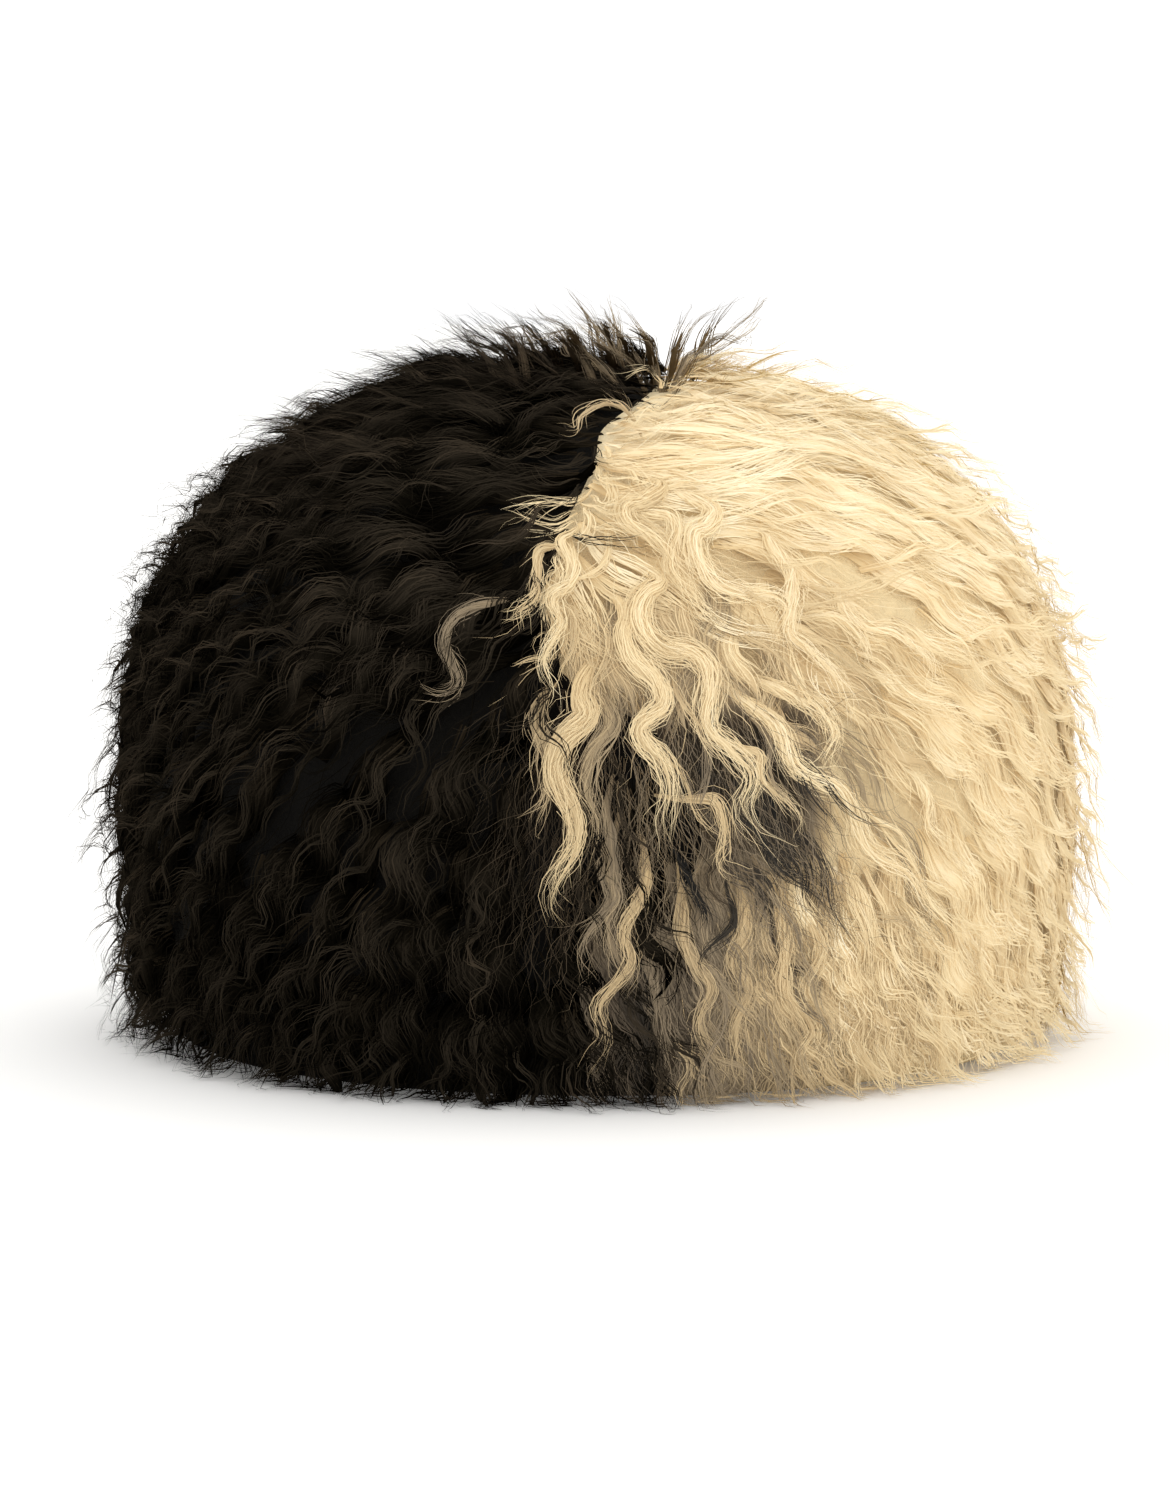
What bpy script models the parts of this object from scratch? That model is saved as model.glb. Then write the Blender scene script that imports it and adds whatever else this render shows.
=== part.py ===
"""Papakha: a tall, dome-shaped sheepskin hat with long wavy wool, dark on one half and cream on the other.

The hat rests on its rim of wool. Units are metres and +Z is up. The origin is the middle of the base, +X is the
cream side and -Y is the front, where the two colours meet in a parting.

Each half is a leather hide, which is half of an oval cap open at the bottom, and a fleece, which is the packed
wool round that cap with tapered, wavy locks fused to it.
"""

import math
import random

import bmesh
import bpy
from mathutils import Matrix, Vector

# The hide: an oval cap for a head of about 58 cm
HEAD_WIDTH = 0.170  # inside, side to side
HEAD_LENGTH = 0.200  # inside, front to back
HIDE_WALL = 0.0025
HIDE_RIM = 0.004  # height of the rim above the surface that the hat rests on
HIDE_CROWN = 0.155  # height of the crown's underside
HIDE_SQUARENESS = 3.2  # 2 is a plain ellipse from rim to crown, more is squarer

# The outline of the wool
WOOL_WIDTH = 0.318
WOOL_LENGTH = 0.324
WOOL_HEIGHT = 0.229
WIDEST_HEIGHT = 0.078
DOME_SQUARENESS = 2.4
BASE_TUCK = 0.06  # share of the width that the wool draws in between its widest height and its base

# The locks, each a flat-backed strip that swells from its root and tapers to its tip
LOCK_COUNT = 59
LOCK_LENGTH = (0.095, 0.130)  # shortest and longest
LOCK_WIDTH = (0.028, 0.038)  # at the belly
LOCK_THICKNESS = 0.60  # as a share of the width
LOCK_TIP_WIDTH = 0.0026
LOCK_TAPER = 0.7  # 1 tapers evenly to the tip, less stays broad for longer
LOCK_RINGS = 8
LOCK_BELLY = 0.30  # where the belly is, as a share of the length from the root
LOCK_RELIEF = 0.008  # how deep the valleys between the bellies are
ROOT_WIDTH = 0.45  # as a share of the belly's
ROOT_DEPTH = 0.009  # how far the root lies under the belly
TIP_STAND = 0.006  # how far the tips stand out of the wool's outline
WAVE_HEIGHT = 0.0060
WAVE_LENGTH = 0.062
FULL_WAVE_SHARE = 0.5  # where on a lock its wave has grown to its full height
CROWN_SHARE = 1.25  # 1 spreads the roots evenly, more puts more of them on the crown
LOWEST_ROOT = -0.28  # sine of the lowest root's elevation, seen from the middle of the widest height
SHORTEST_AT_FLOOR = 0.040  # a lock with less room than this above the floor is left out
ROOT_SPREAD = 0.35  # how far a root strays from its even place, as a share of their spacing
SEED = 11

# A lock's section, as shares of its half width and of its thickness over and under the middle line
LOCK_SECTION = (
    # across, out
    (-1.00, -0.20),
    (1.00, -0.20),
    (0.72, 0.62),
    (0.00, 1.00),
    (-0.72, 0.62),
)

# The crest that the wool falls from to both sides, and how strongly the wool's own weight turns it down
CREST_FRONT = -0.200  # how far back the crest begins, in front of the hat
CREST_BACK = 0.070  # how far back it ends
CREST_HEIGHT = 0.212
CREST_HEIGHTS = (0.12, 0.21)  # under the first all wool fans out from the crest's front, over the second from all of it
FRONT_WEIGHT = 0.2
BACK_WEIGHT = 1.7
WEIGHT_BACKS = (-0.15, -0.01)  # in front of the first the front's weight holds, behind the second the back's

FRONT_LOCK_PHASE = 1.9  # how far the wave of each front lock is ahead of the last one's

# Gaps between pieces
HALF_GAP = 0.0003
ROOM_GAP = 0.0005
HIDE_GAP = 0.0005
FLOOR_CLEARANCE = 0.0004
WELD_DISTANCE = 1e-6  # points nearer than this are one

# Faces round a turned form, and from its rim to its crown
TURN_STEPS = 30
PROFILE_STEPS = 8
SEAM_STEPS = 24  # straight pieces of the parting, from the base up
SHARP_ANGLE = math.radians(50)  # an edge sharper than this is a real edge

# The parting between dark and cream: how far across it lies at each height
PARTING = (
    # height, across
    (0.000, 0.018),
    (0.050, 0.022),
    (0.085, 0.032),
    (0.110, 0.020),
    (0.135, -0.012),
    (0.165, -0.013),
    (0.204, 0.000),
    (0.229, 0.028),
)

# Long cream locks at the front, most of which fall over the parting
CREAM_FRONT_LOCKS = (
    # root across, root height, length, lean across per length, width
    (0.000, 0.192, 0.105, -0.22, 0.020),
    (-0.004, 0.152, 0.125, -0.10, 0.024),
    (0.012, 0.142, 0.112, 0.02, 0.024),
    (-0.010, 0.172, 0.060, -0.30, 0.012),
    (0.032, 0.137, 0.085, 0.10, 0.024),
    (0.052, 0.196, 0.100, 0.06, 0.030),
    (0.086, 0.176, 0.105, 0.12, 0.032),
    (0.060, 0.096, 0.090, 0.05, 0.030),
)

# Dark locks low at the front, where the wool fans out
DARK_FRONT_LOCKS = (
    # root across, root height, length, lean across per length, width
    (-0.030, 0.158, 0.115, 0.00, 0.030),
    (-0.050, 0.120, 0.108, 0.00, 0.032),
    (-0.018, 0.112, 0.104, 0.05, 0.028),
    (-0.082, 0.106, 0.095, 0.00, 0.030),
    (0.002, 0.086, 0.080, 0.05, 0.024),
)

# Short tufts that stand up on the crown
CROWN_TUFTS = (
    # root across, root back, lean across, length
    (-0.018, -0.046, -0.45, 0.025),
    (-0.004, -0.054, -0.10, 0.028),
    (0.012, -0.044, 0.35, 0.027),
    (0.004, -0.022, 0.10, 0.025),
)
TUFT_WIDTH = 0.013
TUFT_RINGS = 4
TUFT_ROOT_DEPTH = 0.012

HALF_WIDTH = WOOL_WIDTH / 2
HALF_LENGTH = WOOL_LENGTH / 2
DOME_RISE = WOOL_HEIGHT - WIDEST_HEIGHT
FAR = 0.3  # past every surface of the hat
GOLDEN_ANGLE = math.pi * (3 - math.sqrt(5))


def clear_scene():
    for obj in list(bpy.data.objects):
        bpy.data.objects.remove(obj, do_unlink=True)


def new_collection(name, helpers=False):
    made = bpy.data.collections.new(name)
    bpy.context.scene.collection.children.link(made)
    made.hide_render = helpers
    return made


def material(name, colour, roughness):
    made = bpy.data.materials.new(name)
    made.use_nodes = True
    shader = made.node_tree.nodes["Principled BSDF"]
    shader.inputs["Base Color"].default_value = (*colour, 1)
    shader.inputs["Roughness"].default_value = roughness
    shader.inputs["Metallic"].default_value = 0
    made.diffuse_color = (*colour, 1)
    return made


# Shape of the wool


def width_share(height):
    """How wide the wool is at a height, as a share of its widest."""
    if height < WIDEST_HEIGHT:
        return 1 - BASE_TUCK * ((WIDEST_HEIGHT - height) / WIDEST_HEIGHT) ** 2
    rise = min(1, (height - WIDEST_HEIGHT) / DOME_RISE)
    return (1 - rise**DOME_SQUARENESS) ** (1 / DOME_SQUARENESS)


def on_outline(point):
    """The point of the wool's outline that a point near it lies over."""
    round_share = math.hypot(point.x / HALF_WIDTH, point.y / HALF_LENGTH)
    if point.z < WIDEST_HEIGHT:
        grow = width_share(point.z) / round_share
        return Vector((point.x * grow, point.y * grow, point.z))
    rise = (point.z - WIDEST_HEIGHT) / DOME_RISE
    size = (round_share**DOME_SQUARENESS + rise**DOME_SQUARENESS) ** (1 / DOME_SQUARENESS)
    return Vector((point.x / size, point.y / size, WIDEST_HEIGHT + rise * DOME_RISE / size))


def outward(point):
    """The direction straight out of the wool's outline."""
    flat = Vector((point.x / HALF_WIDTH**2, point.y / HALF_LENGTH**2, 0))
    round_share = max(1e-6, math.hypot(point.x / HALF_WIDTH, point.y / HALF_LENGTH))
    if point.z < WIDEST_HEIGHT:
        slope = -2 * BASE_TUCK * (WIDEST_HEIGHT - point.z) / WIDEST_HEIGHT**2
        return (flat / round_share + Vector((0, 0, slope))).normalized()
    rise = (point.z - WIDEST_HEIGHT) / DOME_RISE
    flat *= round_share ** (DOME_SQUARENESS - 2)
    return (flat + Vector((0, 0, rise ** (DOME_SQUARENESS - 1) / DOME_RISE))).normalized()


def on_crown(across, back):
    """The point of the outline over a place near the crown."""
    round_share = math.hypot(across / HALF_WIDTH, back / HALF_LENGTH)
    rise = (1 - round_share**DOME_SQUARENESS) ** (1 / DOME_SQUARENESS)
    return Vector((across, back, WIDEST_HEIGHT + rise * DOME_RISE))


def on_front(across, height):
    """The point of the outline's front at a place seen from the front."""
    share = across / (HALF_WIDTH * width_share(height))
    return Vector((across, -HALF_LENGTH * width_share(height) * math.sqrt(1 - share**2), height))


def eased(value, start, end):
    """A smooth step from 0, at the start and before it, to 1, at the end and past it."""
    share = min(1, max(0, (value - start) / (end - start)))
    return share * share * (3 - 2 * share)


def parting_across(height):
    """Where the parting lies at a height, eased from row to row of its table."""
    for (low, across_low), (high, across_high) in zip(PARTING, PARTING[1:]):
        if height <= high:
            return across_low + (across_high - across_low) * eased(height, low, high)
    return PARTING[-1][1]


def flow(point):
    """The way the wool lies at a point of the outline: away from the crest, and down by its own weight."""
    crowned = eased(point.z, *CREST_HEIGHTS)
    back = min(CREST_BACK, max(CREST_FRONT, point.y))
    crest_back = CREST_FRONT + (back - CREST_FRONT) * crowned
    crest = Vector((parting_across(point.z) * crowned, crest_back, CREST_HEIGHT))
    weight = FRONT_WEIGHT + (BACK_WEIGHT - FRONT_WEIGHT) * eased(point.y, *WEIGHT_BACKS)
    pull = (point - crest).normalized() + weight * Vector((0, 0, -1))
    normal = outward(point)
    return (pull - normal * pull.dot(normal)).normalized()


# Making meshes


def object_from_mesh(name, mesh, collection):
    made = bpy.data.objects.new(name, mesh)
    collection.objects.link(made)
    return made


def baked(obj):
    """A mesh of the object with its modifiers, or its curve's bevel, made real."""
    bpy.context.view_layer.update()
    graph = bpy.context.evaluated_depsgraph_get()
    return bpy.data.meshes.new_from_object(obj.evaluated_get(graph))


def remove_with_data(obj):
    data = obj.data
    bpy.data.objects.remove(obj, do_unlink=True)
    if isinstance(data, bpy.types.Curve):
        bpy.data.curves.remove(data)
    else:
        bpy.data.meshes.remove(data)


def weld(mesh):
    shape = bmesh.new()
    shape.from_mesh(mesh)
    bmesh.ops.remove_doubles(shape, verts=shape.verts, dist=WELD_DISTANCE)
    shape.to_mesh(mesh)
    shape.free()


def turned(name, profile, width, length, collection):
    """A profile of (share of the width, height) turned into an oval form, width across and length deep."""
    mesh = bpy.data.meshes.new(name)
    edges = [(i, i + 1) for i in range(len(profile) - 1)]
    mesh.from_pydata([(share, 0, height) for share, height in profile], edges, [])
    round_form = object_from_mesh(name, mesh, collection)
    screw = round_form.modifiers.new("turn", "SCREW")
    screw.steps = screw.render_steps = TURN_STEPS
    screw.use_merge_vertices = True
    screw.merge_threshold = WELD_DISTANCE
    shape = baked(round_form)
    remove_with_data(round_form)
    shape.transform(Matrix.Diagonal((width / 2, length / 2, 1, 1)))
    return object_from_mesh(name, shape, collection)


def outline_profile():
    """The wool under the locks' relief, from the crown down to a closed flat foot."""
    grow_across = (HALF_WIDTH - LOCK_RELIEF) / HALF_WIDTH
    top = WOOL_HEIGHT - LOCK_RELIEF
    points = []
    for step in range(PROFILE_STEPS + 1):
        turn = math.pi / 2 * step / PROFILE_STEPS
        share = math.sin(turn) ** (2 / DOME_SQUARENESS)
        rise = math.cos(turn) ** (2 / DOME_SQUARENESS)
        points.append((share, WIDEST_HEIGHT + rise * (top - WIDEST_HEIGHT)))
    points[0] = (0, top)
    for height in (WIDEST_HEIGHT / 2, 0):
        points.append((width_share(height), height))
    points.append((0, 0))
    return points, WOOL_WIDTH * grow_across, WOOL_LENGTH - 2 * LOCK_RELIEF


def hide_profile(crown, bottom):
    """The hide's turned form, from the middle of its crown down to its bottom edge."""
    points = []
    for step in range(PROFILE_STEPS + 1):
        turn = math.pi / 2 * step / PROFILE_STEPS
        share = math.sin(turn) ** (2 / HIDE_SQUARENESS)
        rise = math.cos(turn) ** (2 / HIDE_SQUARENESS)
        points.append((share, bottom + rise * (crown - bottom)))
    points[0] = (0, crown)
    return points


def half_space(name, side, seam, shift, helpers):
    """A cutter of all that lies on one side (1 is +X) of a seam, given as across for each height."""
    heights = [-FAR] + [FAR * step / SEAM_STEPS for step in range(SEAM_STEPS + 1)] + [2 * FAR]
    edge = [(seam(height) + shift, height) for height in heights]
    corners = edge + [(side * FAR, heights[-1]), (side * FAR, heights[0])]
    curve = bpy.data.curves.new(name, "CURVE")
    curve.dimensions = "2D"
    curve.fill_mode = "BOTH"
    curve.extrude = FAR
    spline = curve.splines.new("POLY")
    spline.points.add(len(corners) - 1)
    for point, (across, height) in zip(spline.points, corners):
        point.co = (across, height, 0, 1)
    spline.use_cyclic_u = True
    outline = object_from_mesh(name, curve, helpers)
    mesh = baked(outline)
    remove_with_data(outline)
    weld(mesh)
    mesh.transform(Matrix.Rotation(math.pi / 2, 4, "X"))
    shape = bmesh.new()
    shape.from_mesh(mesh)
    bmesh.ops.recalc_face_normals(shape, faces=shape.faces)
    shape.to_mesh(mesh)
    shape.free()
    return helper(object_from_mesh(name, mesh, helpers))


def helper(obj):
    obj.hide_render = True
    obj.display_type = "WIRE"
    return obj


def combined(name, base, steps, collection):
    """A mesh of base after Boolean steps, each an operation and a list of its helper objects, one after another."""
    work = object_from_mesh(name, base.data.copy(), collection)
    for operation, operands in steps:
        for operand in operands:
            step = work.modifiers.new(operation.lower(), "BOOLEAN")
            step.operation = operation
            step.solver = "MANIFOLD"
            step.object = operand
    mesh = baked(work)
    remove_with_data(work)
    return mesh


def largest_body(mesh):
    """Keeps the body with the most faces, so that no crumb that a cut left hangs loose beside it."""
    shape = bmesh.new()
    shape.from_mesh(mesh)
    bodies = []
    seen = set()
    for face in shape.faces:
        if face in seen:
            continue
        body, front = [], [face]
        seen.add(face)
        while front:
            current = front.pop()
            body.append(current)
            for edge in current.edges:
                for other in edge.link_faces:
                    if other not in seen:
                        seen.add(other)
                        front.append(other)
        bodies.append(body)
    bodies.sort(key=len)
    for body in bodies[:-1]:
        bmesh.ops.delete(shape, geom=body, context="FACES")
    shape.to_mesh(mesh)
    shape.free()


def finished(name, mesh, surface, collection):
    """A node of the hat: its mesh, smooth except at its real edges, with its one material."""
    made = object_from_mesh(name, mesh, collection)
    mesh.materials.clear()
    mesh.materials.append(surface)
    mesh.shade_smooth()
    mesh.set_sharp_from_angle(angle=SHARP_ANGLE)
    return made


# The locks


def lock_width(share, widest):
    """A lock's width at a share of its length: it swells from the root to the belly, then tapers to the tip."""
    swell = ROOT_WIDTH + (1 - ROOT_WIDTH) * min(1, share / LOCK_BELLY)
    return max(LOCK_TIP_WIDTH, widest * swell * (1 - share**2) ** LOCK_TAPER)


def lock_sections(root, length, widest, phase, lean=0.0):
    """The sections of a lock that lies on the wool from its sunken root and lifts at its tip.

    Each is a middle point, the way across, the way out, and the width.
    """
    sections = []
    place = on_outline(root)
    step = length / (LOCK_RINGS - 1)
    for ring in range(LOCK_RINGS):
        share = ring / (LOCK_RINGS - 1)
        normal = outward(place)
        along = flow(place)
        across = normal.cross(along)
        width = lock_width(share, widest)
        thickness = width * LOCK_THICKNESS
        swing = WAVE_HEIGHT * min(1, share / FULL_WAVE_SHARE)
        swing *= math.sin(2 * math.pi * share * length / WAVE_LENGTH + phase)
        sunk = ROOT_DEPTH * max(0, 1 - share / LOCK_BELLY) ** 2
        middle = place + across * swing + normal * (TIP_STAND * share**2 - thickness - sunk)
        reach_down = thickness * max(0, -normal.z) + width / 2 * abs(across.z)
        middle.z = max(middle.z, reach_down + FLOOR_CLEARANCE)
        sections.append((middle, across, normal, width))
        ahead = place + (along + Vector((lean, 0, 0))).normalized() * step
        ahead.z = max(ahead.z, 0)
        place = on_outline(ahead)
    return sections


def tuft_sections(across, back, lean, length):
    """The sections of a short tuft that stands up on the crown."""
    root = on_crown(across, back)
    way = (outward(root) + Vector((lean, 0, 0))).normalized()
    side = way.cross(Vector((0, 1, 0))).normalized()
    out = side.cross(way)
    sections = []
    for ring in range(TUFT_RINGS):
        share = ring / (TUFT_RINGS - 1)
        middle = root + way * (share * length - TUFT_ROOT_DEPTH)
        width = max(LOCK_TIP_WIDTH, TUFT_WIDTH * (1 - share**2) ** LOCK_TAPER)
        sections.append((middle, side, out, width))
    return sections


def lock_object(name, sections, grow, collection):
    """A lock as a closed mesh lofted through its sections, each grown by a clearance."""
    shape = bmesh.new()
    rings = []
    for middle, across, out, width in sections:
        half = width / 2 + grow
        thick = width * LOCK_THICKNESS + grow
        ring = []
        for share_across, share_out in LOCK_SECTION:
            corner = middle + across * share_across * half + out * (share_out * thick - grow)
            ring.append(shape.verts.new(corner))
        rings.append(ring)
    sides = len(LOCK_SECTION)
    for ring, after in zip(rings, rings[1:]):
        for side in range(sides):
            following = (side + 1) % sides
            shape.faces.new((ring[side], ring[following], after[following], after[side]))
    shape.faces.new(rings[0])
    shape.faces.new(rings[-1])
    bmesh.ops.recalc_face_normals(shape, faces=shape.faces)
    bmesh.ops.triangulate(shape, faces=shape.faces)
    mesh = bpy.data.meshes.new(name)
    shape.to_mesh(mesh)
    shape.free()
    return helper(object_from_mesh(name, mesh, collection))


def even_roots():
    """Roots spread evenly over the wool along a golden-angle spiral, each strayed a little."""
    stray = random.Random(SEED)
    spacing = math.sqrt(2 * math.pi / LOCK_COUNT)
    for number in range(LOCK_COUNT):
        share = ((number + 0.5) / LOCK_COUNT) ** CROWN_SHARE
        height = 1 - share * (1 - LOWEST_ROOT)
        turn = number * GOLDEN_ANGLE
        level = math.sqrt(1 - height**2)
        ray = Vector((level * math.cos(turn), level * math.sin(turn), height))
        ray += ROOT_SPREAD * spacing * Vector([stray.uniform(-0.5, 0.5) for _ in range(3)])
        middle = Vector((0, 0, WIDEST_HEIGHT))
        far_point = middle + ray.normalized() * DOME_RISE
        root = on_outline(far_point)
        length = stray.uniform(*LOCK_LENGTH)
        width = stray.uniform(*LOCK_WIDTH)
        phase = stray.uniform(0, 2 * math.pi)
        room = root.z - FLOOR_CLEARANCE
        if room > SHORTEST_AT_FLOOR:
            yield root, min(length, room), width, phase


def all_locks():
    """The sections of all locks, as a list for the dark half and one for the cream half."""
    dark, cream = [], []
    for root, length, width, phase in even_roots():
        half = cream if root.x > parting_across(root.z) else dark
        half.append(lock_sections(root, length, width, phase))
    for half, rows in ((cream, CREAM_FRONT_LOCKS), (dark, DARK_FRONT_LOCKS)):
        for number, (across, height, length, lean, width) in enumerate(rows):
            root = on_front(across, height)
            half.append(lock_sections(root, length, width, number * FRONT_LOCK_PHASE, lean))
    for row in CROWN_TUFTS:
        dark.append(tuft_sections(*row))
    return dark, cream


def crosses_parting(sections):
    """Whether a lock of the cream half reaches over the parting, or nearly."""
    return any(middle.x - width < parting_across(middle.z) for middle, _, _, width in sections)


# The pieces


def make_hides(parts, helpers, leathers):
    inner = turned(
        "hide_cap",
        hide_profile(HIDE_CROWN, HIDE_RIM),
        HEAD_WIDTH,
        HEAD_LENGTH,
        helpers,
    )
    wall = inner.modifiers.new("wall", "SOLIDIFY")
    wall.thickness = HIDE_WALL
    wall.offset = 1
    wall.use_even_offset = True
    cap = object_from_mesh("hide_wall", baked(inner), helpers)
    remove_with_data(inner)
    for name, side in (("dark_hide", -1), ("cream_hide", 1)):
        shift = side * HALF_GAP / 2
        cutter = half_space(f"{name}_seam", -side, lambda height: 0, shift, helpers)
        mesh = combined(name, cap, [("DIFFERENCE", [cutter])], helpers)
        finished(name, mesh, leathers[name], parts)
        remove_with_data(cutter)
    remove_with_data(cap)


def make_fleeces(parts, helpers, wools):
    profile, width, length = outline_profile()
    dome = turned("wool_dome", profile, width, length, helpers)
    clearance = HIDE_WALL + HIDE_GAP
    hollow = turned(
        "head_hollow",
        hide_profile(HIDE_CROWN + clearance, HIDE_RIM) + [(1, -FAR), (0, -FAR)],
        HEAD_WIDTH + 2 * clearance,
        HEAD_LENGTH + 2 * clearance,
        helpers,
    )
    packed = object_from_mesh(
        "packed_wool", combined("packed", dome, [("DIFFERENCE", [hollow])], helpers), helpers
    )
    dark, cream = all_locks()
    crossing = filter(crosses_parting, cream)
    dark_locks = [lock_object("dark_lock", lock, 0, helpers) for lock in dark]
    cream_locks = [lock_object("cream_lock", lock, 0, helpers) for lock in cream]
    cream_room = [lock_object("cream_room", lock, ROOM_GAP, helpers) for lock in crossing]
    right = half_space("right_of_parting", 1, parting_across, -HALF_GAP / 2, helpers)
    left = half_space("left_of_parting", -1, parting_across, HALF_GAP / 2, helpers)
    dark_steps = [("UNION", dark_locks), ("DIFFERENCE", [right]), ("DIFFERENCE", cream_room)]
    cream_steps = [("DIFFERENCE", [left]), ("UNION", cream_locks)]
    for name, steps in (("dark_fleece", dark_steps), ("cream_fleece", cream_steps)):
        mesh = combined(name, packed, steps, helpers)
        largest_body(mesh)
        finished(name, mesh, wools[name], parts)
    for leftover in [dome, hollow, packed, right, left, *dark_locks, *cream_locks, *cream_room]:
        remove_with_data(leftover)


def main():
    clear_scene()
    parts = new_collection("papakha")
    helpers = new_collection("helpers", helpers=True)
    materials = {
        "dark_hide": material("dark_hide_leather", (0.20, 0.14, 0.10), 0.85),
        "cream_hide": material("cream_hide_leather", (0.62, 0.50, 0.36), 0.85),
        "dark_fleece": material("dark_wool", (0.012, 0.010, 0.007), 0.7),
        "cream_fleece": material("cream_wool", (0.79, 0.61, 0.34), 0.75),
    }
    make_hides(parts, helpers, materials)
    make_fleeces(parts, helpers, materials)
    bpy.data.collections.remove(helpers)


main()
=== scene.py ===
"""Papakha: a dome-shaped hat of long-haired sheepskin, dark wool on one half and cream on the other.

Laid out as an add-on whose operators dress the hat's solids. The two hides keep their solids and get a suede
finish. The two fleeces are replaced by wool: a core of packed underwool, and thousands of separate strands,
gathered into wavy locks, that lie over it. Units are metres, +Z is up, +X is the cream half and -Y the front.
"""

import math
from copy import copy

import bpy
import numpy as np
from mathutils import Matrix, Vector


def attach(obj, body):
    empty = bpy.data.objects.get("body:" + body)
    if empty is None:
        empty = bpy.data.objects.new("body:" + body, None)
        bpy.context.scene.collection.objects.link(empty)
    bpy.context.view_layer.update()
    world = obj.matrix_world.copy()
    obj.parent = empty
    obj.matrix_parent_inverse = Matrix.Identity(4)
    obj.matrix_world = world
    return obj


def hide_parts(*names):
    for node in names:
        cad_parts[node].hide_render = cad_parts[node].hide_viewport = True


bl_info = {
    "name": "Papakha",
    "version": (1, 0, 0),
    "blender": (4, 5, 0),
    "location": "View3D > Sidebar > Papakha",
    "description": "Dresses a two-tone sheepskin hat in long wavy wool",
    "category": "Add Mesh",
}

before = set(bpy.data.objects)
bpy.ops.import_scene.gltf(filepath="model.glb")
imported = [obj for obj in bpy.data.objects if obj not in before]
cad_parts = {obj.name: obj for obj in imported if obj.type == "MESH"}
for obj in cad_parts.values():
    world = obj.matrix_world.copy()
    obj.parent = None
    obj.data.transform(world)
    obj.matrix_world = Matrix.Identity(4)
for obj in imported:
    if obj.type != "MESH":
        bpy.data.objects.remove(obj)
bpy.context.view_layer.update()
BODY = "root"
WOOL_UV = "OFBake"
TONE = "tone"
SOFTNESS = 0.85  # how far the normals of the wool turn from its own surface to straight out of the hat

# Each of these is added to the seed, so that its own pieces keep their random draws when others change
ROPE_SEED = 1
FUZZ_SEED = 3
TUFT_SEED = 6

# The parting between dark and cream: how far across it lies at each height
PARTING = np.array([
    # height, across
    (0.000, 0.018),
    (0.050, 0.022),
    (0.085, 0.032),
    (0.110, 0.020),
    (0.135, -0.012),
    (0.165, -0.013),
    (0.200, 0.000),
    (0.219, 0.022),
])

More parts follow.
